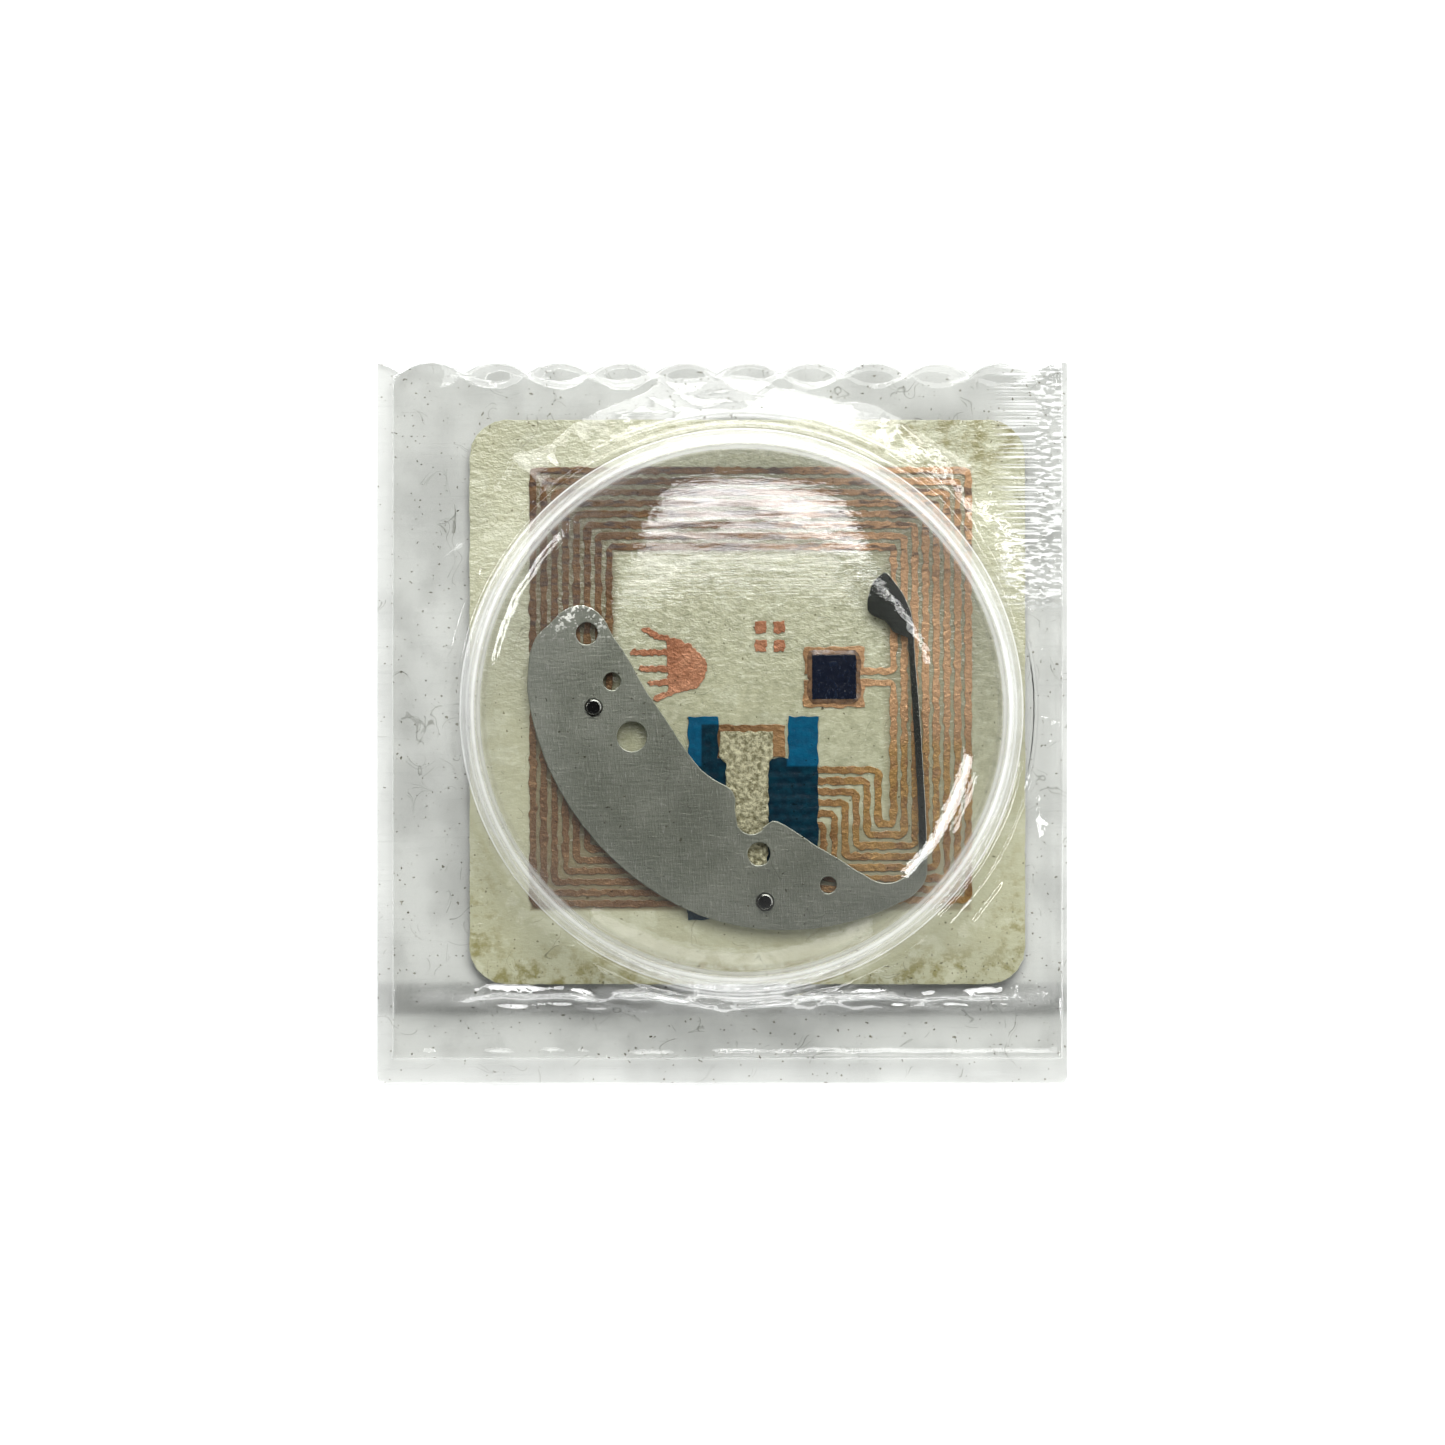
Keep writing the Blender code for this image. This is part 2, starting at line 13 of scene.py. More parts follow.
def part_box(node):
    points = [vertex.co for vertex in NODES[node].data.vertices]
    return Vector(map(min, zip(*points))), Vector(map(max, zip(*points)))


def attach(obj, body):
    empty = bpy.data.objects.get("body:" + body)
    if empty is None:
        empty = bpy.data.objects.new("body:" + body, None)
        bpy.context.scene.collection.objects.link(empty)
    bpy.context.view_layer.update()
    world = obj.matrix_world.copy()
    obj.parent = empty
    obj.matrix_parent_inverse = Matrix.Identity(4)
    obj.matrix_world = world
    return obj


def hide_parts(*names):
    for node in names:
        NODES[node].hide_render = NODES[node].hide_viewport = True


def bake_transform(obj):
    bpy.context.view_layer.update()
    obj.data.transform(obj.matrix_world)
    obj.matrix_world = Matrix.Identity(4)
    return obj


MM = 0.001
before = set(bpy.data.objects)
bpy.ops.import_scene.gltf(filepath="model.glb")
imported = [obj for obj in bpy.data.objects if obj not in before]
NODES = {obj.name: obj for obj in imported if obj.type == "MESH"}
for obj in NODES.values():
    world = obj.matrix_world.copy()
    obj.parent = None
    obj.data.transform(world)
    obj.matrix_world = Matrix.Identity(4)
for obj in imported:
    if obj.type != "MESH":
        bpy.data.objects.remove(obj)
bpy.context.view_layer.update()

# ---- driving sizes of the finer shapes -----------------------------------------------------------
CENTRE = (0.85, 0.55)       # the dome's middle
DOME_EDGE = 13.1            # radius of the dome's foot
SHEET = 0.3                 # thickness of the formed sheet
SEAM_HEIGHT = 0.57          # upper skin of the formed sheet where it is sealed to the film
BED_RISE = 0.33             # how much higher that skin lies over the label
PITCH = 2.85                # spacing of the tear scallops
JUNCTION = -14.5            # where two of them meet
DEPTH = 0.5                 # how far they are cut in
BEAD = 0.585                # half height of a full tear bead
SEAL_CREASE = -12.45        # the crease along the bottom seal
TRACK_PITCH = 0.49          # spacing of the copper tracks
PRINT_TOP = -1.96           # upper end of the blue print's ribbed body
PRINT_FOOT = (-8.6, -8.3)   # where its ribs fade out
TRACKS_WIDTH = 4.1          # width of the band of tracks round the antenna


# ---- shapes read from the CAD frame --------------------------------------------------------------
def cad_box(name):
    low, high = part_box(name)
    return np.array(low) / MM, np.array(high) / MM


def top_loops(name):
    """Closed outlines of a flat node's upper face, material on the left; the longest one first."""
    mesh = NODES[name].data
    points = np.array([v.co for v in mesh.vertices]) / MM
    top = points[:, 2].max()
    keys = {}
    ids = [keys.setdefault(tuple(np.round(p, 4)), len(keys)) for p in points]
    places = np.array(list(keys))[:, :2]
    after = {}
    seen = set()
    for face in mesh.polygons:
        corners = [ids[i] for i in face.vertices]
        if face.normal.z > 0.9 and min(points[i][2] for i in face.vertices) > top - 0.001:
            seen.update(zip(corners, corners[1:] + corners[:1]))
    for a, b in seen:
        if (b, a) not in seen:
            after.setdefault(a, []).append(b)
    loops = []
    while after:
        start = next(iter(after))
        here, loop = start, []
        while True:
            loop.append(here)
            ahead = after[here].pop()
            if not after[here]:
                del after[here]
            here = ahead
            if here == start:
                break
        loops.append(places[loop])
    return sorted(loops, key=lambda loop: -np.abs(np.diff(loop, axis=0)).sum())


# ---- numbers over many points at once ------------------------------------------------------------
def ripple(x, y, size, seed, waves=14):
    """Smooth random field of about -1 to 1 whose bumps are about size across."""
    rng = np.random.RandomState(seed)
    turn = rng.uniform(0, 2 * math.pi, waves)
    rate = 2 * math.pi / (size * rng.uniform(0.7, 1.6, waves))
    shift = rng.uniform(0, 2 * math.pi, waves)
    total = np.zeros(np.shape(x))
    for a, k, s in zip(turn, rate, shift):
        total = total + np.cos((x * math.cos(a) + y * math.sin(a)) * k + s)
    return total * math.sqrt(2 / waves) * 0.6


def smooth(value, low, high):
    t = np.clip((value - low) / (high - low), 0, 1)
    return t * t * (3 - 2 * t)


def inside(loops, points):
    """True for each point that lies in the filled outlines."""
    odd = np.zeros(len(points), bool)
    for loop in loops:
        after = np.roll(loop, -1, 0)
        rise = after[:, 1] - loop[:, 1]
        run = (after[:, 0] - loop[:, 0]) / np.where(rise == 0, 1, rise)
        for first in range(0, len(points), 1000):
            part = slice(first, first + 1000)
            y = points[part, 1][:, None]
            crossed = (loop[:, 1] > y) != (after[:, 1] > y)
            right = points[part, 0][:, None] < loop[:, 0] + (y - loop[:, 1]) * run
            odd[part] ^= (crossed & right).sum(1) % 2 == 1
    return odd


def subdivide(loop, step):
    points = []
    for a, b in zip(loop, np.roll(loop, -1, 0)):
        count = max(1, round(float(np.hypot(*(b - a))) / step))
        points += [a + (b - a) * i / count for i in range(count)]
    return np.array(points)


def inset(loop, distance):
    """The outline moved towards its material."""
    ahead = np.roll(loop, -1, 0) - loop
    ahead /= np.maximum(np.hypot(*ahead.T), 1e-9)[:, None]
    behind = np.roll(ahead, 1, 0)
    along = ahead + behind
    along /= np.maximum(np.hypot(*along.T), 1e-9)[:, None]
    reach = distance / np.maximum((along * ahead).sum(1), 0.6)
    return loop + np.stack([-along[:, 1], along[:, 0]], 1) * reach[:, None]


def fill(loops, spots):
    """Triangles over filled outlines, with extra points inside them."""
    points = np.concatenate([*loops, spots]) if len(spots) else np.concatenate(loops)
    edges, start = [], 0
    for loop in loops:
        edges += [(start + i, start + (i + 1) % len(loop)) for i in range(len(loop))]
        start += len(loop)
    _, _, found, sources, _, _ = delaunay_2d_cdt([Vector(p) for p in points], edges, [], 1, 1e-7)
    found = np.array([[sources[i][0] if sources[i] else -1 for i in t] for t in found])
    found = found[(found >= 0).all(1)]
    found = found[inside(loops, points[found].mean(1))]
    a, b, c = points[found[:, 0]], points[found[:, 1]], points[found[:, 2]]
    turned = (b[:, 0] - a[:, 0]) * (c[:, 1] - a[:, 1]) < (b[:, 1] - a[:, 1]) * (c[:, 0] - a[:, 0])
    found[turned] = found[turned][:, ::-1]
    return found


def spread(loops, step, seed):
    """Jittered grid of points that keep clear of the outlines."""
    edge = np.concatenate(loops)
    low, high = edge.min(0), edge.max(0)
    grid = np.stack(np.meshgrid(np.arange(low[0], high[0], step), np.arange(low[1], high[1], step)), -1)
    grid = grid.reshape(-1, 2) + np.random.RandomState(seed).uniform(-0.3, 0.3, (grid.size // 2, 2)) * step
    grid = grid[inside(loops, grid)]
    clear = [((edge - p) ** 2).sum(1).min() > (0.6 * step) ** 2 for p in grid]
    return grid[clear]


# ---- meshes --------------------------------------------------------------------------------------
def make_mesh(name, points, faces, material, sharp=35):
    mesh = bpy.data.meshes.new(name)
    mesh.from_pydata(np.asarray(points) * MM, [], [tuple(int(i) for i in f) for f in faces])
    mesh.materials.append(material)
    mesh.shade_smooth()
    mesh.set_sharp_from_angle(angle=math.radians(sharp))
    item = bpy.data.objects.new(name, mesh)
    bpy.context.scene.collection.objects.link(item)
    return item


def place(item, nodes, body):
    """A visual piece that stands for CAD nodes and moves with one body."""
    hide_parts(*nodes)
    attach(item, body)
    return item


def slab(name, loops, low, high, material, bevel=0.03, step=0.15, wobble=0.0, wave=1.2, grid=0, relief=None,
         sharp=20, seed=1):
    """Thin flat part with a rounded upper edge, uneven sides and an optional uneven top."""
    loops = [subdivide(loop, step) for loop in loops]
    if wobble:
        loops = [loop + wobble * np.stack([ripple(*loop.T, wave, seed), ripple(*loop.T, wave, seed + 1)], 1)
                 for loop in loops]
    tops = [inset(loop, bevel) for loop in loops]
    spots = spread(tops, grid, seed) if grid else np.zeros((0, 2))
    levels = [(loops, low), (loops, high - bevel), ([inset(loop, bevel * 0.3) for loop in loops],
                                                    high - bevel * 0.3), (tops, high)]
    points = []
    for rings, height in levels:
        flat = np.concatenate(rings)
        lift = relief(*flat.T) if relief and height > low else np.zeros(len(flat))
        points.append(np.column_stack([flat, height + lift]))
    if len(spots):
        lift = relief(*spots.T) if relief else np.zeros(len(spots))
        points.append(np.column_stack([spots, high + lift]))
    size = sum(len(loop) for loop in loops)
    faces = []
    start = 0
    for loop in loops:
        count = len(loop)
        for level in range(3):
            for i in range(count):
                a = level * size + start + i
                b = level * size + start + (i + 1) % count
                faces.append((a, b, b + size, a + size))
        start += count
    faces += [tuple(f + 3 * size) for f in fill(tops, spots)]
    faces += [tuple(f[::-1]) for f in fill(loops, np.zeros((0, 2)))]
    return make_mesh(name, np.concatenate(points), faces, material, sharp)


def lathe(name, centre, profile, segments, material, sharp=40):
    """Turned part from (radius, height) pairs, closed on its axis at both ends."""
    points = [(centre[0], centre[1], profile[0][1])]
    for radius, height in profile:
        for i in range(segments):
            a = 2 * math.pi * i / segments
            points.append((centre[0] + radius * math.cos(a), centre[1] + radius * math.sin(a), height))
    points.append((centre[0], centre[1], profile[-1][1]))
    faces = []
    for i in range(segments):
        j = (i + 1) % segments
        faces.append((0, 1 + j, 1 + i))
        for ring in range(len(profile) - 1):
            a, b = 1 + ring * segments + i, 1 + ring * segments + j
            faces.append((a, b, b + segments, a + segments))
        last = 1 + (len(profile) - 1) * segments
        faces.append((last + i, last + j, len(points) - 1))
    return make_mesh(name, points, faces, material, sharp)


# ---- shader helper -------------------------------------------------------------------------------
class Look:
    """A material under construction. Values may be numbers, colours or sockets."""

    def __init__(self, name, held=None):
        """held names a mesh attribute that keeps each point's place at rest, for a mesh that bends."""
        self.material = bpy.data.materials.new(name)
        self.material.use_nodes = True
        self.tree = self.material.node_tree
        self.tree.nodes.clear()
        self.output = self.add("ShaderNodeOutputMaterial")
        self.place = self.add("ShaderNodeTexCoord")
        if held:
            self.mm = self.add("ShaderNodeAttribute", attribute_name=held).outputs["Vector"]
        else:
            self.mm = self.add("ShaderNodeVectorMath", {0: self.place.outputs["Object"], 1: (1 / MM,) * 3},
                               operation="MULTIPLY").outputs[0]
        parts = self.add("ShaderNodeSeparateXYZ", {0: self.mm})
        self.x, self.y, self.z = parts.outputs

    def add(self, kind, inputs=None, **settings):
        node = self.tree.nodes.new(kind)
        for key, value in settings.items():
            setattr(node, key, value)
        for key, value in (inputs or {}).items():
            self.put(node.inputs[key], value)
        return node

    def put(self, socket, value):
        if isinstance(value, bpy.types.NodeSocket):
            self.tree.links.new(value, socket)
        elif socket.type == "RGBA" and len(value) == 3:
            socket.default_value = (*value, 1)
        else:
            socket.default_value = value

    def math(self, operation, a, b=0.0, c=0.0):
        return self.add("ShaderNodeMath", {0: a, 1: b, 2: c}, operation=operation).outputs[0]

    def product(self, first, *others):
        for value in others:
            first = self.math("MULTIPLY", first, value)
        return first

    def beyond(self, value, low, high):
        """How far a coordinate lies outside a span; negative inside it."""
        off = self.math("ABSOLUTE", self.math("SUBTRACT", value, (low + high) / 2))
        return self.math("SUBTRACT", off, (high - low) / 2)

    def stretch(self, x, y, z=1.0):
        return self.add("ShaderNodeVectorMath", {0: self.mm, 1: (x, y, z)}, operation="MULTIPLY").outputs[0]

    def noise(self, size, detail=3.0, rough=0.55, vector=None):
        """Noise of 0 to 1 whose bumps are about size millimetres across."""
        vector = vector or self.mm
        return self.add("ShaderNodeTexNoise", {"Vector": vector, "Scale": 1 / size, "Detail": detail,
                                               "Roughness": rough}).outputs["Fac"]

    def band(self, value, low, high, start=0.0, end=1.0):
        return self.add("ShaderNodeMapRange", {0: value, 1: low, 2: high, 3: start, 4: end},
                        interpolation_type="SMOOTHSTEP").outputs[0]

    def mix(self, share, a, b, blend="MIX"):
        node = self.add("ShaderNodeMix", data_type="RGBA", blend_type=blend)
        self.put(node.inputs[0], share)
        self.put(node.inputs[6], a)
        self.put(node.inputs[7], b)
        return node.outputs[2]

    def bump(self, height, distance, strength=1.0):
        return self.add("ShaderNodeBump", {"Height": height, "Distance": distance * MM,
                                           "Strength": strength}).outputs[0]

    def shade(self, **inputs):
        """Ends the material with a Principled shader."""
        names = {key.replace("_", " ").title().replace("Ior", "IOR"): value for key, value in inputs.items()}
        node = self.add("ShaderNodeBsdfPrincipled", names)
        self.put(self.output.inputs[0], node.outputs[0])
        return self.material

    def end(self, shader):
        self.put(self.output.inputs[0], shader)
        return self.material


# ---- materials -----------------------------------------------------------------------------------
def see_through(look, tint, slope):
    """What the plastic lets pass: a little less on slopes and at the rim's edge line, painted shade for the
    light that the sheet bends away there; less at hairs and specks.
    """
    patches = look.band(look.noise(3.0, 4.0), 0.42, 0.62)
    passed = look.mix(patches, tint, [c * 0.97 for c in tint])
    # Painted shade: less light passes on slopes and along the rim's edge line.
    passed = look.mix(look.band(slope, 0.02, 0.22), passed, [c * 0.95 for c in tint])
    painted_edge_shade = look.product(look.band(slope, 0.28, 0.32), look.band(slope, 0.39, 0.35))
    passed = look.mix(painted_edge_shade, passed, [c * 0.84 for c in tint])
    line = look.math("ABSOLUTE", look.math("SUBTRACT", look.noise(2.2, 1.0), 0.5))
    hair = look.product(look.band(line, 0.0035, 0.0015), look.band(look.noise(1.4, 1.0), 0.57, 0.60))
    passed = look.mix(look.product(hair, 0.45), passed, (0.4, 0.4, 0.36))
    specks = look.math("GREATER_THAN", look.noise(0.16, 0.0), 0.83)
    passed = look.mix(specks, passed, (0.45, 0.43, 0.38))
    return look.add("ShaderNodeBsdfTransparent", {0: passed}).outputs[0]


def milkiness(look, slope, haze, scuff, streak_glint_share):
    """Share of the plastic that scatters: scuffs, a whitish ring painted on the dome's wall for its
    reflection and refraction, and white streaks painted at the upper right for glints on fine wrinkles.
    """
    streaks = look.band(look.noise(0.35, 3.0, 0.6, look.stretch(0.12, 1.6)), 0.55, 0.7)
    # Painted light: the dome's steep wall scatters white, standing in for the bright ring that its
    # reflection and refraction make.
    rim = look.product(look.band(slope, 0.36, 0.45), look.band(slope, 0.47, 0.58, 1.0, 0.52),
                       look.math("MULTIPLY_ADD", look.noise(2.5, 2.0), 0.50, 0.26))
    milky = look.math("ADD", rim, look.math("MULTIPLY_ADD", streaks, scuff, haze))
    # Painted glints: white streaks at the upper right, standing in for light caught by fine wrinkles.
    streak_glints = look.band(look.noise(0.15, 1.0, 0.5, look.stretch(0.022, 1.0)), 0.52, 0.64)
    streak_glints = look.product(streak_glints, look.band(look.x, 11.9, 13.4), look.band(look.y, 4.6, 6.4))
    return look.math("MULTIPLY_ADD", streak_glints, streak_glint_share, milky)


def clear_look(name, tint, haze, scuff, streak_glint_share=0.0):
    """Thin clear plastic: see-through with a mirror gloss, slight haze and a few specks of dirt."""
    look = Look(name)
    lie = look.add("ShaderNodeSeparateXYZ", {0: look.place.outputs["Normal"]}).outputs[2]
    slope = look.math("SUBTRACT", 1.0, look.math("ABSOLUTE", lie))
    handled = look.product(look.band(look.y, 4.5, 6.5), look.band(look.y, 12.0, 10.5),
                           look.band(look.math("ABSOLUTE", look.x), 7.8, 6.2))
    smear = look.noise(0.36, 3.0, 0.6, look.stretch(0.15, 1.4))
    fine = look.product(smear, look.math("MULTIPLY_ADD", handled, 1.6, 0.15))
    wave = look.bump(look.math("ADD", look.noise(1.1, 2.0), fine), 0.02)
    graze = look.add("ShaderNodeLayerWeight", {"Blend": 0.5, "Normal": wave}).outputs["Facing"]
    mirror = look.math("MULTIPLY_ADD", look.math("POWER", graze, 4.0), 0.7, 0.031)
    dull = look.product(look.band(smear, 0.48, 0.58), handled, look.band(look.y, 10.5, 9.4))
    crease = look.band(look.math("ABSOLUTE", look.math("SUBTRACT", look.y, SEAL_CREASE)), 0.9, 0.5, 1.0, 4.0)
    mirror = look.product(mirror, look.math("MULTIPLY_ADD", dull, -0.8, 1.0),
                          look.math("MULTIPLY_ADD", handled, 0.5, 1.0), crease)
    gloss = {"Color": (1, 1, 1), "Roughness": 0.03, "Normal": wave}
    gloss = look.add("ShaderNodeBsdfGlossy", gloss).outputs[0]
    cloud = look.add("ShaderNodeBsdfDiffuse", {0: (0.9, 0.91, 0.9)}).outputs[0]
    milky = milkiness(look, slope, haze, scuff, streak_glint_share)
    body = {0: milky, 1: see_through(look, tint, slope), 2: cloud}
    body = look.add("ShaderNodeMixShader", body).outputs[0]
    return look.end(look.add("ShaderNodeMixShader", {0: mirror, 1: body, 2: gloss}).outputs[0])


def stained(look, colour):
    """Brown dirt along the label's lower edges and at its upper right corner."""
    low, high = cad_box("inlay_film")
    side = look.beyond(look.x, low[0] + 1.4, high[0] - 1.4)
    foot = look.math("SUBTRACT", low[1] + 1.6, look.y)
    near_edge = look.band(look.math("MAXIMUM", side, foot), -0.8, 1.2)
    lower = look.product(near_edge, look.band(look.y, low[1] + 9.0, low[1] + 1.0))
    dirt = look.band(look.noise(0.75, 5.0, 0.7), 0.45, 0.64)
    corner = look.product(look.band(look.x, 3.5, 9.0), look.band(look.y, 10.2, 12.2), 0.85)
    stain = look.product(look.math("MAXIMUM", lower, corner), dirt)
    colour = look.mix(stain, colour, (0.22, 0.20, 0.075))
    specks = look.math("GREATER_THAN", look.noise(0.13, 0.0), 0.80)
    return look.mix(look.product(specks, lower), colour, (0.08, 0.07, 0.04))


def shaded(look, colour):
    """Darker between the tracks, and painted shade, mottled, under the dome."""
    low, high = cad_box("antenna_coil")
    reach = look.math("MAXIMUM", look.beyond(look.x, low[0], high[0]), look.beyond(look.y, low[1], high[1]))
    tracks = look.product(look.band(reach, 0.05, -0.15), look.band(reach, -TRACKS_WIDTH, 0.4 - TRACKS_WIDTH))
    gaps = look.product(tracks, look.band(look.x, 4.0, -3.0, 0.6, 0.95))
    colour = look.mix(gaps, colour, (0.135, 0.098, 0.04))
    # Painted shade under the dome, stronger towards the top and the right.
    round_x = look.math("POWER", look.math("SUBTRACT", look.x, CENTRE[0]), 2.0)
    round_y = look.math("POWER", look.math("SUBTRACT", look.y, CENTRE[1]), 2.0)
    under_dome = look.band(look.math("SQRT", look.math("ADD", round_x, round_y)), 13.2, 11.5)
    mottle = look.band(look.noise(0.5, 5.0, 0.7), 0.38, 0.66)
    shade = look.product(under_dome, look.math("MULTIPLY_ADD", mottle, 0.60, 0.22),
                         look.band(look.y, -9.5, -1.0, 0.25, 1.0), look.band(look.x, -9.0, -4.0, 0.4, 1.0))
    return look.mix(shade, colour, (0.235, 0.24, 0.145))


def label_look():
    """Cream paper under a clear carrier film, with fibres and traces of glue."""
    look = Look("cream_label")
    tone = look.band(look.noise(6.0, 3.0), 0.35, 0.65)
    colour = look.mix(tone, (0.375, 0.37, 0.245), (0.435, 0.435, 0.305))
    fibres = look.band(look.noise(0.28, 4.0, 0.6, look.stretch(0.5, 1.5)), 0.5, 0.72)
    colour = look.mix(look.product(fibres, 0.35), colour, (0.42, 0.42, 0.29))
    glue = look.band(look.noise(1.1, 4.0, 0.6), 0.52, 0.64)
    colour = look.mix(look.product(glue, 0.22), colour, (0.70, 0.71, 0.58))
    colour = shaded(look, stained(look, colour))
    crinkle = look.product(look.noise(0.32, 3.0, 0.6, look.stretch(0.8, 1.3)),
                           look.math("MULTIPLY_ADD", look.band(look.y, -1.0, 6.5), 0.7, 0.3))
    return look.shade(base_color=colour, roughness=0.5, normal=look.bump(crinkle, 0.11), coat_weight=0.8,
                      coat_roughness=0.10, coat_normal=look.bump(crinkle, 0.15))


def copper_look(name, redness):
    """Etched foil, tarnished brown with lighter patches and darker towards the left, with painted light on
    the right: a lit patch higher up and gold-coloured highlights lower down.
    """
    look = Look(name)
    patch = look.band(look.noise(2.4, 3.0, 0.6), 0.42, 0.62)
    brown = look.mix(redness, (0.165, 0.08, 0.026), (0.28, 0.11, 0.052))
    colour = look.mix(patch, brown, look.mix(redness, (0.26, 0.145, 0.058), (0.40, 0.185, 0.10)))
    grain = look.noise(0.14, 3.0, 0.7)
    dim = look.band(look.x, 5.0, -4.0, 0.0, 0.55 * (1 - redness))
    colour = look.mix(dim, colour, (0.07, 0.035, 0.014))
    # Painted light: a lit patch on the tracks at the upper right.
    lit = look.product(look.band(look.x, 1.0, 8.0), look.band(look.y, -3.0, 2.0), 0.75 * (1 - redness))
    colour = look.mix(lit, colour, (0.50, 0.30, 0.16))
    colour = look.mix(look.band(grain, 0.5, 0.75, 0.0, 0.5), colour, (0.09, 0.04, 0.025))
    # Painted highlights: gold-coloured glints on the tracks at the lower right.
    painted_gold_highlight = look.product(look.band(look.x, 3.8, 6.5), look.band(look.y, -0.5, -1.2),
                          look.band(look.noise(0.7, 3.0), 0.36, 0.56), 0.8)
    colour = look.mix(painted_gold_highlight, colour, (0.29, 0.17, 0.05))
    smear = look.band(look.noise(0.6, 3.0, 0.6, look.stretch(0.4, 1.8)), 0.50, 0.60)
    left = look.product(look.band(look.x, -3.0, -7.0, 0.0, 0.8), look.band(look.y, -2.0, 2.0))
    smear = look.product(smear, look.math("MAXIMUM", look.band(look.y, 5.5, 8.0), left), 0.75)
    colour = look.mix(smear, colour, (0.045, 0.03, 0.028))
    normal = look.bump(look.math("MULTIPLY_ADD", grain, 0.4, look.noise(0.3, 3.0, 0.6)), 0.07)
    return look.shade(base_color=colour, metallic=0.55, roughness=0.42, normal=normal, coat_weight=0.2,
                      coat_roughness=0.12)


def bridge_look():
    """Blue print: bright over the paper, navy and ribbed over the copper."""
    look = Look("blue_print")
    over_tracks = look.band(look.y, PRINT_TOP + 0.06, PRINT_TOP - 0.06)
    over_pad = look.product(look.band(look.x, -1.0, -0.9), look.band(look.x, 2.95, 2.85),
                            look.band(look.y, -0.02, -0.14))
    navy = look.math("MAXIMUM", over_tracks, over_pad)
    mottle = look.noise(0.35, 4.0, 0.65)
    patch = look.band(mottle, 0.35, 0.7)
    blue = look.mix(patch, (0.0, 0.048, 0.10), (0.0, 0.07, 0.14))
    dark = look.mix(patch, (0.0, 0.010, 0.020), (0.0, 0.024, 0.040))
    return look.shade(base_color=look.mix(navy, blue, dark), roughness=0.3, specular_ior_level=0.12,
                      normal=look.bump(mottle, 0.03))


def jumper_look():
    """Coarse silver ink."""
    look = Look("silver_print")
    grain = look.noise(0.21, 3.0, 0.7)
    colour = look.mix(look.band(grain, 0.34, 0.66), (0.135, 0.123, 0.06), (0.40, 0.38, 0.25))
    flecks = look.math("GREATER_THAN", look.noise(0.11, 1.0), 0.66)
    colour = look.mix(look.product(flecks, 0.7), colour, (0.12, 0.10, 0.05))
    return look.shade(base_color=colour, metallic=0.35, roughness=0.5, normal=look.bump(grain, 0.08))


def steel_look():
    """Rolled sheet with fine scratches; the spring and its beak are polished and painted dark for the dark
    they reflect, with a painted highlight on their right-facing sides, and painted glints at one end of the
    crescent.
    """
    look = Look("sheet_steel", held="rest_place")
    lines = look.noise(0.09, 3.0, 0.7, look.stretch(1.0, 0.16))
    cross = look.noise(0.12, 3.0, 0.6, look.stretch(0.2, 1.0))
    cloud = look.noise(2.2, 4.0, 0.6)
    colour = look.mix(look.band(cloud, 0.35, 0.68), (0.19, 0.20, 0.165), (0.25, 0.26, 0.22))
    colour = look.mix(look.band(lines, 0.56, 0.76, 0.0, 0.7), colour, (0.38, 0.39, 0.35))
    pits = look.band(look.noise(0.22, 2.0), 0.66, 0.74)
    colour = look.mix(look.product(pits, 0.35), colour, (0.12, 0.125, 0.11))
    spring = look.product(look.band(look.x, 6.2, 6.4), look.band(look.y, -5.9, -5.2))
    # Painted dark: the polished spring and beak are darkened for the dark that they reflect.
    colour = look.mix(look.product(spring, 0.9), colour, (0.045, 0.05, 0.045))
    # Painted highlight on the spring's sides that face right.
    lean = look.add("ShaderNodeAttribute", attribute_name="rest_lean").outputs["Fac"]
    colour = look.mix(look.product(spring, look.band(lean, 0.15, 0.5)), colour, (0.75, 0.75, 0.68))
    # Painted glints: white flecks at one end of the crescent.
    painted_tip_glints = look.product(look.band(look.y, 3.4, 5.0), look.band(look.x, -4.0, -5.0))
    flecks = look.band(look.noise(0.3, 3.0, 0.7), 0.52, 0.58)
    colour = look.mix(look.product(painted_tip_glints, flecks), colour, (0.95, 0.95, 0.9))
    rough = look.math("MULTIPLY_ADD", cross, 0.12, 0.34)
    rough = look.math("SUBTRACT", rough, look.product(spring, 0.16))
    height = look.math("ADD", look.product(lines, 0.6), look.product(cross, 0.4))
    return look.shade(base_color=colour, metallic=0.92, roughness=rough, normal=look.bump(height, 0.03))


def plain_look(name, colour, roughness, metallic=0.0, size=0.3, bump=0.01, vary=0.25):
    """A small part's finish: one tone with mottling and a slightly uneven surface."""
    look = Look(name)
    spots = look.noise(size, 3.0, 0.6)
    tone = look.mix(look.band(spots, 0.35, 0.7), colour, [c * (1 - vary) for c in colour])
    normal = look.bump(spots, bump)
    return look.shade(base_color=tone, roughness=roughness, metallic=metallic, normal=normal)


